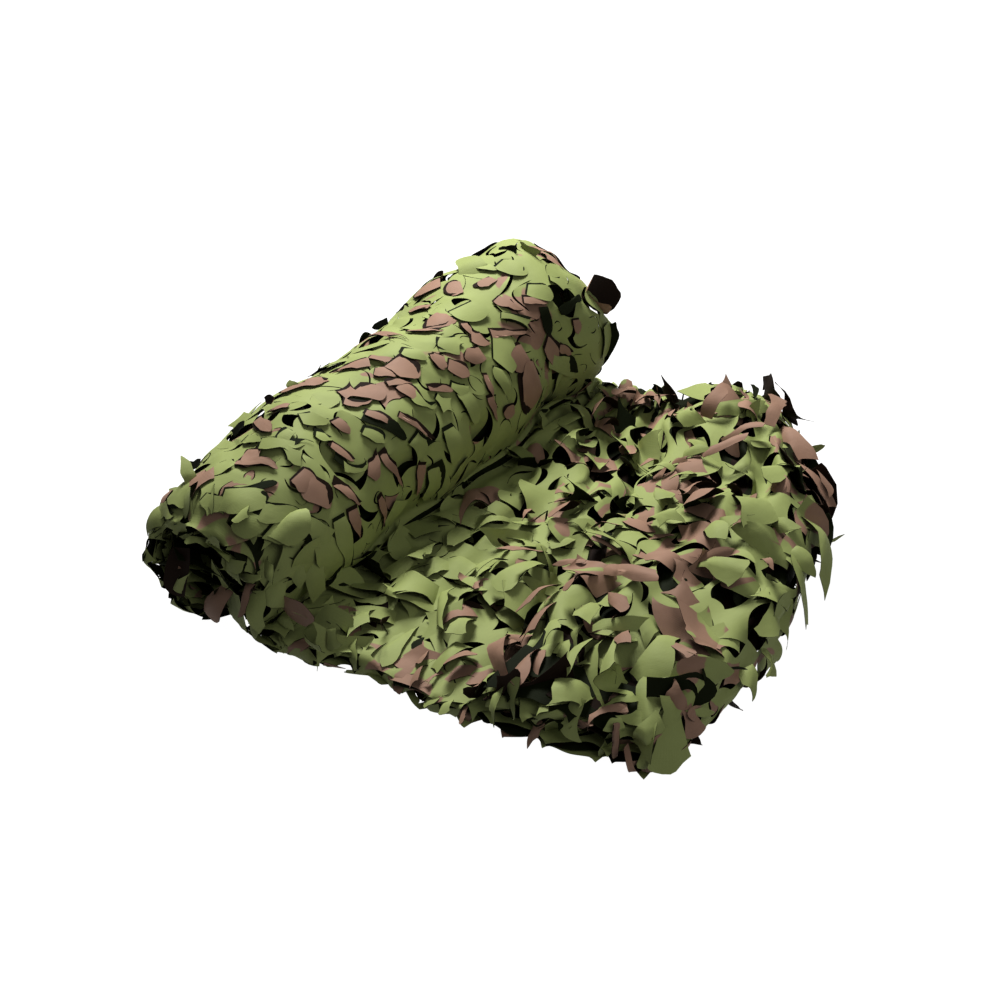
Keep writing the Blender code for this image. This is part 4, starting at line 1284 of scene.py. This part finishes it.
# large flaps that came to lie where they show, in millimetres: root, tip, the way they face (tenths),
# width, bulge in hundredths of the length, shape in flapChart, and whether brown
largeFlaps = (
    (72, -269, 139, 96, -298, 112, (5, -6, 7), 51, 25, 8, 0),
    (-54, -294, 131, -25, -315, 120, (-2, -7, 6), 29, 12, 8, 0),
    (-22, -285, 144, 10, -312, 135, (0, -8, 6), 15, 10, 6, 0),
    (-46, -283, 135, -74, -253, 153, (0, -6, 10), 16, 5, 6, 0),
    (-67, -305, 112, -83, -318, 81, (-3, -8, 5), 25, 12, 0, 0),
    (-39, -303, 73, -30, -334, 29, (-3, 9, -2), 32, -10, 8, 1),
    (27, -326, 61, 3, -328, 4, (-2, -10, 2), 31, 12, 8, 1),
    (61, -328, 74, 66, -350, 44, (0, -10, 3), 27, 10, 5, 1),
    (75, -330, 70, 79, -334, 17, (3, -9, 2), 18, 12, 6, 0),
    (91, -309, 80, 89, -324, 52, (7, -7, 1), 33, 10, 5, 0),
    (90, -311, 53, 143, -322, 57, (7, -7, 1), 24, 8, 8, 1),
    (87, -313, 40, 112, -313, 26, (0, -7, 8), 13, 8, 6, 0),
    (101, -293, 91, 103, -296, 63, (7, -7, 3), 17, 10, 6, 0),
    (107, -276, 92, 109, -269, 40, (9, -4, 1), 23, 8, 4, 0),
    (53, -299, 135, 61, -312, 111, (4, -7, 5), 11, 8, 6, 0),
    (22, -318, 87, 65, -334, 95, (0, -10, 8), 16, 10, 5, 0),
    (33, -297, 143, 44, -317, 134, (-3, -7, 6), 22, 15, 9, 0),
    (215, -272, 20, 243, -323, 4, (-1, -7, 7), 29, 10, 8, 1),
    (252, -289, 23, 266, -325, 21, (-1, -8, 6), 9, 8, 4, 1),
    (275, -287, 25, 272, -323, 24, (1, -7, 7), 14, 8, 1, 1),
    (236, -267, 28, 251, -292, 27, (-5, -1, 9), 14, 12, 8, 1),
    (283, -303, 22, 284, -333, 11, (-1, -8, 6), 22, 8, 9, 0),
    (286, -254, 36, 285, -298, 39, (0, -6, 10), 19, 10, 8, 1),
    (270, -234, 27, 270, -302, 26, (0, -3, 10), 19, 8, 4, 0),
    (195, -164, 32, 242, -258, 42, (-2, -5, 10), 23, 8, 4, 0),
    (200, -222, 25, 214, -309, 17, (-1, -1, 10), 25, 8, 2, 0),
    (153, -238, 30, 171, -308, 34, (-2, -6, 10), 37, 10, 7, 0),
    (170, -301, 31, 194, -322, 10, (1, -8, 5), 20, 6, 9, 0),
    (157, -318, 52, 166, -322, 28, (0, -6, 8), 22, 6, 5, 0),
    (150, -139, 37, 145, -231, 39, (-3, -4, 10), 27, 8, 1, 0),
    (177, -196, 40, 164, -222, 38, (-3, -4, 10), 27, 15, 8, 0),
    (178, -252, 33, 199, -283, 42, (-2, -10, 6), 8, 6, 4, 1),
    (321, -316, 22, 337, -344, 19, (1, -9, 5), 14, 6, 5, 1),
    (307, -325, 23, 313, -344, 17, (1, -9, 5), 14, 6, 5, 0),
    (17, -322, 83, 63, -336, 79, (0, -10, 5), 21, 8, 9, 0),
    (126, -326, 28, 163, -338, 34, (0, -10, 3), 16, 6, 5, 0),
    (71, -312, 98, 97, -330, 88, (2, -10, 3), 20, 10, 2, 0),
    (92, -245, 123, 102, -260, 86, (8, -6, 3), 23, 10, 4, 0),
    (284, -252, 26, 329, -315, 11, (0, -4, 9), 30, 10, 5, 0),
    (358, -320, 51, 385, -350, 35, (-2, -9, 4), 21, 10, 0, 0),
    (310, -213, 36, 336, -282, 24, (0, -4, 9), 26, 10, 5, 1),
    (325, -166, 60, 340, -232, 50, (-4, -6, 7), 17, 8, 4, 1),
    (359, -233, 56, 388, -302, 42, (-1, -5, 9), 19, 10, 4, 1),
    (372, -221, 61, 411, -277, 48, (0, -5, 8), 28, 12, 5, 0),
    (368, -182, 59, 409, -253, 41, (-1, -4, 9), 16, 10, 4, 0),
    (408, -201, 60, 458, -302, 35, (0, -10, 2), 33, 12, 4, 0),
    (441, -305, 65, 440, -319, 24, (0, -9, 4), 27, 8, 5, 0),
    (460, -250, 58, 473, -294, 54, (2, -2, 10), 32, 8, 5, 1),
    (491, -238, 65, 508, -319, 28, (3, -7, 6), 35, 10, 4, 0),
    (464, -168, 72, 482, -254, 57, (2, -5, 8), 47, 16, 5, 0),
    (492, -304, 56, 476, -315, 48, (3, -8, 5), 14, 8, 6, 0),
    (523, -260, 67, 537, -295, 10, (7, -7, 0), 44, 6, 5, 0),
    (488, -251, 65, 551, -222, 72, (-3, 8, -5), 29, 6, 8, 0),
    (534, -224, 80, 550, -164, 65, (-3, 8, -5), 13, 6, 0, 0),
    (537, -255, 60, 548, -258, 31, (9, -5, 1), 23, 8, 5, 1),
    (539, -262, 56, 552, -226, 47, (8, -6, 3), 8, 5, 6, 0),
    (410, -320, 32, 396, -326, 2, (2, -9, 3), 14, 5, 0, 1),
    (373, -313, 70, 384, -321, 22, (-2, -8, 6), 16, 8, 4, 0),
    (402, -291, 60, 416, -328, 48, (-1, -6, 8), 14, 8, 4, 0),
    (334, -287, 49, 346, -325, 47, (-3, -5, 8), 19, 8, 1, 0),
    (547, -151, 51, 566, -170, 26, (10, -5, 0), 22, 8, 0, 0),
    (542, -96, 42, 563, -133, 30, (10, -2, 3), 16, 8, 5, 0),
    (493, 97, 85, 555, -7, 54, (10, -2, 3), 19, 6, 4, 0),
    (515, 22, 81, 559, -44, 40, (10, -2, 3), 13, 5, 4, 0),
    (509, 67, 78, 506, 121, 36, (10, -2, 3), 21, 5, 5, 0),
    (509, 25, 85, 536, 18, 61, (10, -2, 3), 19, 8, 6, 0),
    (537, -33, 65, 541, -68, 28, (10, -2, 3), 25, 8, 1, 0),
    (531, -62, 76, 543, -123, 70, (10, -2, 3), 31, 8, 5, 0),
    (411, 256, 66, 428, 266, 71, (0, -10, 5), 10, 4, 6, 0),
    (374, 253, 93, 436, 216, 76, (6, -2, 10), 23, 10, 4, 1),
    (425, 213, 74, 493, 147, 51, (10, -2, 5), 19, 8, 4, 1),
    (459, 195, 84, 481, 166, 66, (8, 5, 4), 16, 8, 0, 1),
    (383, 246, 84, 367, 196, 87, (1, -2, 10), 32, 12, 8, 0),
    (412, 200, 87, 429, 111, 103, (4, -5, 10), 33, 12, 8, 0),
    (425, 98, 90, 477, -7, 108, (3, -4, 10), 45, 6, 2, 0),
    (467, 47, 94, 502, 48, 95, (5, -4, 10), 19, 6, 6, 0),
    (415, 19, 94, 459, 6, 106, (1, -5, 10), 27, 10, 1, 0),
    (435, -49, 88, 496, -73, 96, (2, -5, 10), 41, 10, 5, 0),
    (368, 236, 94, 351, 308, 95, (3, -10, 4), 24, 6, 5, 1),
    (339, 243, 93, 344, 264, 111, (0, -10, 5), 15, 6, 6, 0),
    (331, 257, 95, 294, 337, 80, (0, 10, -2), 22, 6, 2, 0),
    (242, 305, 65, 231, 358, 62, (0, 10, -2), 20, 6, 0, 0),
    (296, 309, 88, 277, 307, 86, (0, -10, 5), 10, 6, 6, 0),
    (312, 240, 85, 285, 296, 98, (-1, -3, 9), 51, 12, 8, 1),
    (68, 312, 164, 98, 366, 138, (-9, 0, -5), 45, 9, 8, 1),
    (103, 321, 82, 110, 338, 115, (-2, 10, 0), 23, 10, 9, 0),
    (83, 303, 155, 96, 342, 125, (3, -10, 0), 19, 8, 5, 1),
    (3, -316, 98, -20, -330, 108, (0, -10, 6), 13, 10, 5, 0),
    (44, -312, 77, 17, -328, 88, (0, -10, 6), 12, 10, 1, 0),
    (32, -318, 71, 84, -330, 86, (0, -10, 5), 10, 10, 5, 0),
    (319, 23, 67, 350, 0, 66, (4, 2, 9), 47, 12, 8, 1),
    (346, -104, 76, 431, -130, 101, (1, -3, 10), 20, 10, 4, 1),
    (372, -60, 68, 347, -67, 77, (-2, -2, 10), 9, 6, 6, 1),
    (352, -70, 81, 317, -68, 85, (-2, -4, 9), 13, 8, 5, 1),
    (316, -5, 71, 301, -67, 81, (-2, -2, 9), 11, 8, 4, 1),
    (248, -51, 44, 234, -109, 56, (0, -2, 10), 15, 8, 4, 1),
    (248, -71, 32, 252, -119, 53, (2, -1, 10), 13, 8, 6, 1),
    (323, -95, 76, 287, -94, 55, (-1, -2, 10), 9, 6, 4, 1),
    (226, 37, 47, 234, -13, 55, (-3, -6, 7), 20, 10, 8, 1),
    (347, -115, 73, 346, -174, 82, (-3, -6, 8), 14, 8, 5, 1),
    (317, -142, 68, 316, -208, 65, (-4, -4, 8), 13, 8, 5, 1),
    (330, -189, 54, 319, -214, 36, (-8, -6, 3), 16, 10, 4, 1),
    (313, -213, 36, 320, -253, 49, (2, -4, 9), 20, 8, 8, 1),
    (375, -151, 75, 427, -178, 95, (1, -6, 8), 16, 10, 5, 1),
    (404, -178, 77, 416, -194, 86, (-3, -5, 8), 10, 6, 6, 1),
    (427, -195, 76, 447, -228, 82, (-2, -4, 9), 16, 8, 4, 1),
    (189, 14, 38, 205, -34, 49, (-1, -1, 10), 11, 6, 6, 1),
    (205, -60, 37, 207, -80, 52, (0, -2, 10), 10, 6, 6, 1),
    (198, 127, 44, 192, 76, 61, (1, -3, 9), 15, 8, 1, 1),
    (254, 184, 46, 253, 150, 47, (-1, -2, 10), 12, 6, 5, 1),
    (145, -17, 44, 146, -41, 53, (-1, -3, 9), 13, 6, 0, 1),
    (220, -138, 39, 241, -175, 49, (0, -1, 10), 12, 6, 5, 1),
    (264, -76, 39, 261, -173, 52, (1, -4, 9), 29, 10, 5, 0),
    (220, -94, 42, 215, -160, 47, (-3, -3, 9), 25, 10, 1, 0),
    (377, -22, 68, 374, -73, 68, (-1, 0, 10), 28, 12, 0, 0),
    (397, -205, 78, 449, -175, 79, (-1, -3, 9), 12, 12, 4, 0),
    (130, -82, 31, 155, -162, 51, (1, 0, 10), 26, 10, 5, 0),
    (145, -43, 30, 144, -97, 33, (1, -1, 10), 24, 10, 9, 0),
    (359, -198, 71, 378, -265, 77, (0, -4, 9), 22, 10, 7, 0),
    (371, -159, 77, 385, -208, 79, (2, -1, 10), 24, 10, 4, 0),
    (142, 313, 47, 145, 276, 54, (-1, -2, 10), 24, 10, 8, 1),
    (166, 322, 42, 177, 279, 54, (0, -3, 10), 19, 8, 8, 1),
    (143, 282, 39, 147, 204, 59, (-2, -3, 9), 17, 10, 5, 1),
    (162, 242, 40, 165, 215, 54, (0, -2, 10), 17, 6, 6, 1),
    (151, 324, 40, 203, 305, 52, (0, -2, 10), 21, 10, 1, 1),
    (240, 240, 80, 267, 196, 96, (-2, -2, 10), 14, 6, 6, 1),
    (290, 230, 91, 297, 271, 115, (-1, -3, 9), 21, 16, 8, 1),
    (330, 198, 86, 371, 224, 107, (2, -2, 10), 16, 10, 5, 1),
    (290, 246, 94, 350, 272, 92, (-1, -4, 9), 28, 10, 9, 0),
    (252, 230, 83, 314, 184, 101, (-2, -3, 9), 30, 10, 2, 0),
    (330, 148, 92, 371, 190, 104, (1, -2, 10), 11, 8, 4, 1),
    (304, 151, 83, 344, 159, 92, (0, -3, 10), 12, 8, 6, 0),
    (303, 126, 82, 339, 122, 94, (0, -4, 9), 11, 8, 1, 1),
    (351, 123, 75, 360, 40, 95, (-3, 0, 9), 17, 10, 5, 1),
    (378, 85, 89, 379, 15, 99, (-3, -3, 9), 30, 12, 8, 1),
    (408, 87, 95, 399, 70, 105, (1, -1, 10), 22, 14, 0, 1),
    (341, 18, 73, 401, -15, 98, (3, -2, 9), 28, 12, 7, 0),
    (348, -6, 68, 376, 7, 69, (-2, 1, 10), 12, 10, 4, 1),
    (310, 119, 82, 274, 118, 62, (-2, -2, 10), 13, 10, 4, 0),
    (335, 122, 82, 330, 75, 87, (1, -3, 9), 13, 10, 4, 0),
    (324, 76, 77, 335, 37, 82, (3, -2, 9), 22, 10, 9, 0),
    (407, 14, 91, 453, -24, 101, (-2, -2, 10), 21, 16, 8, 0),
    (432, -54, 91, 471, -38, 100, (-1, -6, 8), 11, 8, 4, 1),
    (494, -22, 96, 519, -56, 103, (2, -3, 9), 8, 6, 6, 1),
    (104, 128, 38, 128, 226, 50, (-2, -4, 9), 24, 10, 5, 0),
    (137, 210, 39, 168, 125, 63, (0, -2, 10), 28, 10, 1, 0),
    (-11, 211, 193, -59, 251, 197, (0, -6, 10), 30, 6, 8, 0),
    (5, 278, 211, -26, 278, 204, (0, 10, -3), 11, 12, 8, 0),
    (-3, 282, 213, 33, 282, 210, (0, -10, 3), 11, 12, 4, 0),
    (35, 296, 196, 24, 296, 204, (0, 10, 0), 10, 6, 6, 0),
    (-63, 223, 181, -83, 223, 171, (0, 10, -3), 16, 10, 8, 1),
    (-74, 121, 158, -103, 121, 138, (0, 10, -3), 11, 6, 6, 0),
    (-67, 153, 167, -91, 153, 152, (0, 10, -3), 8, 6, 6, 1),
    (-32, -148, 180, -51, -148, 178, (0, 10, -3), 11, 6, 6, 1),
    (-41, -186, 167, -67, -186, 149, (0, 10, -3), 10, 6, 4, 0),
    (-60, -239, 140, -92, -239, 122, (0, 10, -3), 9, 6, 4, 0),
    (-36, -104, 179, -56, -104, 175, (0, -10, 5), 10, 6, 5, 0),
    (304, -224, 40, 371, -317, 58, (0, -6, 8), 22, 10, 8, 1),
    (359, -246, 62, 384, -315, 62, (-1, -6, 8), 18, 10, 5, 1),
    (365, -221, 60, 377, -265, 56, (-2, -3, 9), 16, 10, 4, 0),
    (395, -216, 68, 429, -293, 74, (0, -6, 8), 19, 10, 0, 0),
    (427, -203, 73, 459, -285, 75, (2, -6, 8), 19, 10, 1, 0),
    (254, -206, 36, 263, -255, 44, (0, -5, 8), 20, 10, 5, 0),
    (507, -202, 86, 471, -180, 72, (-3, -1, 9), 15, 10, 8, 1),
)


largeFlap = {
    "seed": 7,
    "printRun": 3.0,
    "rootDepth": 0.007,  # how far a root lies under the cloth it comes out of
    "twist": (-0.5, 0.5),
    # a fold along the flap and one across it: place, turn and angle
    "folds": (((0.3, 0.6), (-0.5, 0.5), (-0.9, -0.2)), ((0.3, 0.7), (0.9, 2.2), (-0.4, 0.4))),
    "bulgeSlope": 4,  # slope at the root, for a bulge of 1
    "nearMost": -0.345,  # what stands further out of the near end is held back
    "nearSlack": 0.013,  # to this much more at most
}


def placeLargeFlaps():
    rng = np.random.default_rng(largeFlap["seed"])
    points, faces, flat, values, count, laid, area = [], [], [], [], 0, 0.0, 0.0
    for *ends, facing, width, bulge, shape, brown in largeFlaps:
        root, tip, facing = np.array(ends[:3]) / 1000, np.array(ends[3:]) / 1000, np.array(facing)
        width, bulge = width / 1000, bulge / 100
        root -= facing / np.linalg.norm(facing) * largeFlap["rootDepth"]
        length = np.linalg.norm(tip - root)
        shapePoints, corners = flapTemplates[shape]
        tall, wide = shapePoints[:, 1].max(), np.ptp(shapePoints[:, 0])
        size = length / tall
        if rng.random() < 0.5:
            shapePoints, corners = shapePoints * (-1, 1), corners[:, ::-1]
        steep = largeFlap["bulgeSlope"] * bulge
        bend = {"width": width / wide / size, "twist": rng.uniform(*largeFlap["twist"]),
                "folds": [[rng.uniform(*span) for span in fold] for fold in largeFlap["folds"]],
                "angles": (steep, 0.0, -steep)}
        x, out, up = bendFlap(shapePoints, size, bend)
        last = int(np.argmax(shapePoints[:, 1]))
        turn = math.atan2(up[last], out[last])
        ahead, rise = out * math.cos(turn) + up * math.sin(turn), up * math.cos(turn) - out * math.sin(turn)
        way = (tip - root) / length
        side = np.cross(way, facing)
        side /= np.linalg.norm(side)
        over = np.cross(side, way)
        points.append(root + ahead[:, None] * way + x[:, None] * side + rise[:, None] * over)
        places = shapePoints * (width / wide, size)
        flat.append(places + rng.uniform(0, largeFlap["printRun"], 2))
        faces.append(corners + count)
        values.append(np.full(len(shapePoints), (1 if brown else -1) * ply["chartedLeaf"]))
        area += flatArea(places, corners)
        count, laid = count + len(shapePoints), laid + width
    points = np.concatenate(points)
    past, slack = np.maximum(largeFlap["nearMost"] - points[:, 1], 0), largeFlap["nearSlack"]
    points[:, 1] += past - slack * np.tanh(past / slack)
    points[:, 2] = np.maximum(points[:, 2], hang["leastHeight"])
    piece = shell("largeFlaps", points, np.concatenate(faces), np.concatenate(flat), np.concatenate(values))
    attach(piece, "root")
    print("largeFlaps", len(largeFlaps), "flaps")


placeLargeFlaps()


# The fine turns that show at the roll's two ends.
turns = {
    "shares": (0.90, 0.76, 0.62, 0.48, 0.34, 0.20, 0.06),  # how far out each turn lies, from core to skin
    "depth": 0.075,
    "standsOut": 0.010,
    "start": -0.9,  # angle at which a turn starts, in radians
    "leastArm": 0.03,
    "leastHeight": 0.002,
    "bites": (0.7, 0),
    "leaves": 0.8,  # how high their leaves stand, beside the outer ply's
    "rough": (0.006, 0.045),  # height and length of the unevenness
    "brownLeaves": 0.3,
    "seeds": (50, 60),  # the first one at the near end and at the far end
    "mouths": (  # name, side, place and size of the opening at the core
        ("near", -1, (-0.004, 0.086), (0.050, 0.017)),
        ("far", 1, (-0.008, 0.092), (0.024, 0.012)),
    ),
}


def onTurn(around, depth, height, share, side, mouth, core):
    # points on a turn, whose share runs from 0 at the core's opening to 1 at the skin
    edge = far if side > 0 else near
    along = edge - side * depth
    size = sectionAt(along)
    half = size["height"] / 2
    angle = turns["start"] - 2 * np.pi * around
    outerX, outerZ = size["middle"] + size["halfWidth"] * np.cos(angle), half + half * np.sin(angle)
    coreX, coreZ = mouth[0] + core[0] * np.cos(angle), mouth[1] + core[1] * np.sin(angle)
    armX, armZ = outerX - coreX, outerZ - coreZ
    share = share + height / np.maximum(np.hypot(armX, armZ), turns["leastArm"])
    x, z = coreX + armX * share, np.maximum(coreZ + armZ * share, turns["leastHeight"])
    points = crumple(x, along, z)
    points[:, 2] = np.maximum(points[:, 2], hang["leastHeight"])
    return points


def turnPly(name, seed, share, nextShare, side, mouth, core):
    # one turn, which winds in from its share to the next one's
    size = sectionAt(np.array(far if side > 0 else near))
    radius = np.hypot(mix(core[0], size["halfWidth"], share), mix(core[1], size["height"] / 2, share))
    width = float(2 * np.pi * radius / math.sqrt(2))
    cloth = cutCloth(width, -turns["standsOut"], turns["depth"], seed, bites=turns["bites"])
    place, lift = liftLeaves(cloth, tightPose)
    soft = cloudNoise(seed + 1)
    rough, length = turns["rough"]
    lift = lift * turns["leaves"] + rough * soft(place[:, 0], place[:, 1], length)
    around = place[:, 0] / width
    points = onTurn(around, place[:, 1], lift, mix(share, nextShare, around), side, mouth, core)
    makePly(name, cloth, points, turned=(seed % 2 == 0) == (side > 0), brownLeaves=turns["brownLeaves"])


for name, side, mouth, core in turns["mouths"]:
    shares = turns["shares"] + (0.0,)
    for k, (share, nextShare) in enumerate(zip(shares, shares[1:])):
        turnPly(f"{name}Turn{k + 1}", turns["seeds"][side > 0] + k, share, nextShare, side, mouth, core)


# The ends of the plies folded inside the loose end.
stack = {
    "depth": 0.065,
    "standsOut": 0.004,
    "hangs": 0.006,  # how much more cloth stands out there and hangs down
    "droop": (0.6, 0.9),  # how far in and down it hangs
    "inFrom": (0.05, 0.004, 0.012),  # from the roll's middle, the free edge and the fold
    "leaves": 0.5,  # how high their leaves stand, beside the outer ply's
    "rough": (0.004, 0.05),
    "leastHeight": 0.001,
    "bites": (0.7, 0),
    "brownLeaves": 0.3,
    "seeds": (80, 90),
    "plies": (("tail", 0.18), ("tail", 0.45), ("tail", 0.72),  # how far up its part each one lies
              ("folded", 0.15), ("folded", 0.42), ("folded", 0.70)),
}


def stackPly(name, seed, layer, share, side):
    edge = far if side > 0 else near
    size = sectionAt(np.array(edge))
    fromMiddle, fromFree, fromFold = stack["inFrom"]
    start = float(size["middle"]) + fromMiddle if layer == "tail" else float(size["freeEnd"]) + fromFree
    end = float(size["tailEnd"]) - fromFold
    over = stack["standsOut"] + stack["hangs"]
    cloth = cutCloth(end - start, -over, stack["depth"], seed, bites=stack["bites"])
    place, lift = liftLeaves(cloth, loosePose)
    soft = cloudNoise(seed + 1)
    x = start + place[:, 0]
    depth = place[:, 1]
    size = sectionAt(edge - side * depth)
    low = 0.0 if layer == "tail" else size["tailThick"] + form["layerGap"]
    high = size["tailThick"] if layer == "tail" else size["foldTop"]
    beyond = np.maximum(-depth - stack["standsOut"], 0)
    (inwards, down), (rough, length) = stack["droop"], stack["rough"]
    z = low + share * (high - low) + stack["leaves"] * lift + rough * soft(x, depth, length) - beyond * down
    points = crumple(x, edge - side * (depth + inwards * beyond), np.maximum(z, stack["leastHeight"]))
    points[:, 2] = np.maximum(points[:, 2], hang["leastHeight"])
    makePly(name, cloth, points, turned=seed % 2 == 1, brownLeaves=stack["brownLeaves"])


for side, name in ((-1, "near"), (1, "far")):
    for k, (layer, share) in enumerate(stack["plies"]):
        stackPly(f"{name}Stack{k + 1}", stack["seeds"][side > 0] + k, layer, share, side)


inner = {
    "step": 0.012,
    "rows": 60,
    "inset": 0.045,  # from the two ends
    "depths": (-0.028, -0.036, -0.020),  # under the skin of the roll, of the fold and of what follows it
}


def innerPlies():
    # the plies inside, seen only through the cuts: a smooth body a little inside the form, in the near-black
    # reverse as painted shade so that the cuts show dark
    across = np.arange(0, roundLength, inner["step"])
    along = np.linspace(near + inner["inset"], far - inner["inset"], inner["rows"])
    c, y = np.meshgrid(across, along, indexing="ij")
    onRoll = c < parts["ground"][0]
    roll, fold, tail = inner["depths"]
    depth = np.where(onRoll, roll, fold)
    depth[c >= parts["lip"][0]] = tail
    depth[(c > parts["ground"][0]) & (c < parts["ground"][1])] = 0.0
    points = onNet(c, y, depth)
    rows, columns = c.shape
    index = np.arange(rows * columns).reshape(rows, columns)
    below = np.roll(index, -1, 0)
    quads = np.stack((index[:, :-1], index[:, 1:], below[:, 1:], below[:, :-1]), -1).reshape(-1, 4)
    mesh = bpy.data.meshes.new("innerPlies")
    mesh.from_pydata(points.reshape(-1, 3).tolist(), [], quads.tolist())
    values = np.stack((c.ravel(), y.ravel()), 1)
    mesh.uv_layers.new(name="flat").uv.foreach_set("vector", values[quads].astype(np.float32).ravel())
    mesh.attributes.new("brownness", "FLOAT", "POINT")
    mesh.materials.append(coatedReverse)
    mesh.shade_smooth()
    piece = bpy.data.objects.new("innerPlies", mesh)
    bpy.context.scene.collection.objects.link(piece)
    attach(piece, "root")
    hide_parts("camouflage_net")


innerPlies()


# Floor, light and camera.
studio = {
    "tableTop": "#585857",
    "tableRoughness": 0.9,
    "glow": 0.94,
    "floorSize": 12.0,
    "ambient": 0.15,
    "exposure": 0.08,
    "gamma": 0.85,  # below 1 deepens the shadows
    "lights": (  # name, place, aim, size, watts
        ("backSoftbox", (-0.80, 1.02, 1.68), (0.1, 0, 0), 0.7, 68),
        ("sideSoftbox", (1.8, -0.7, 1.2), (0.3, -0.1, 0), 0.9, 6.5),
    ),
    "cameraPlace": (1.29901, -1.75814, 1.255),
    "cameraAim": (0.167, -0.015, 0.055),
    "lens": 78,
}


def aim(thing, place, target):
    thing.location = place
    thing.rotation_euler = (Vector(target) - Vector(place)).to_track_quat("-Z", "Y").to_euler()
    bpy.context.scene.collection.objects.link(thing)


def makeStudio():
    size = studio["floorSize"]
    mesh = bpy.data.meshes.new("floor")
    corners = [(-size, -size, 0), (size, -size, 0), (size, size, 0), (-size, size, 0)]
    mesh.from_pydata(corners, [], [(0, 1, 2, 3)])
    floor = bpy.data.objects.new("floor", mesh)
    bpy.context.scene.collection.objects.link(floor)
    # Opal acrylic of a shooting table, lit from below: an even white field with only a trace of shadow.
    acrylic = bpy.data.materials.new("opalAcrylic")
    acrylic.use_nodes = True
    shader = acrylic.node_tree.nodes["Principled BSDF"]
    shader.inputs["Base Color"].default_value = linear(studio["tableTop"])
    shader.inputs["Roughness"].default_value = studio["tableRoughness"]
    shader.inputs["Emission Color"].default_value = (1, 1, 1, 1)
    shader.inputs["Emission Strength"].default_value = studio["glow"]
    mesh.materials.append(acrylic)
    floor.visible_diffuse = False  # keeps its glow off the net's undersides
    world = bpy.data.worlds.new("studio")
    world.use_nodes = True
    background = world.node_tree.nodes["Background"]
    background.inputs["Color"].default_value = (1, 1, 1, 1)
    background.inputs["Strength"].default_value = studio["ambient"]
    bpy.context.scene.world = world
    for name, place, target, width, watts in studio["lights"]:
        data = bpy.data.lights.new(name, "AREA")
        data.energy, data.size = watts, width
        aim(bpy.data.objects.new(name, data), place, target)
    camera = bpy.data.cameras.new("camera")
    camera.lens = studio["lens"]
    bpy.context.scene.camera = bpy.data.objects.new("camera", camera)
    aim(bpy.context.scene.camera, studio["cameraPlace"], studio["cameraAim"])
    view = bpy.context.scene.view_settings
    view.view_transform, view.exposure, view.gamma = "Standard", studio["exposure"], studio["gamma"]


makeStudio()
print("studio made")
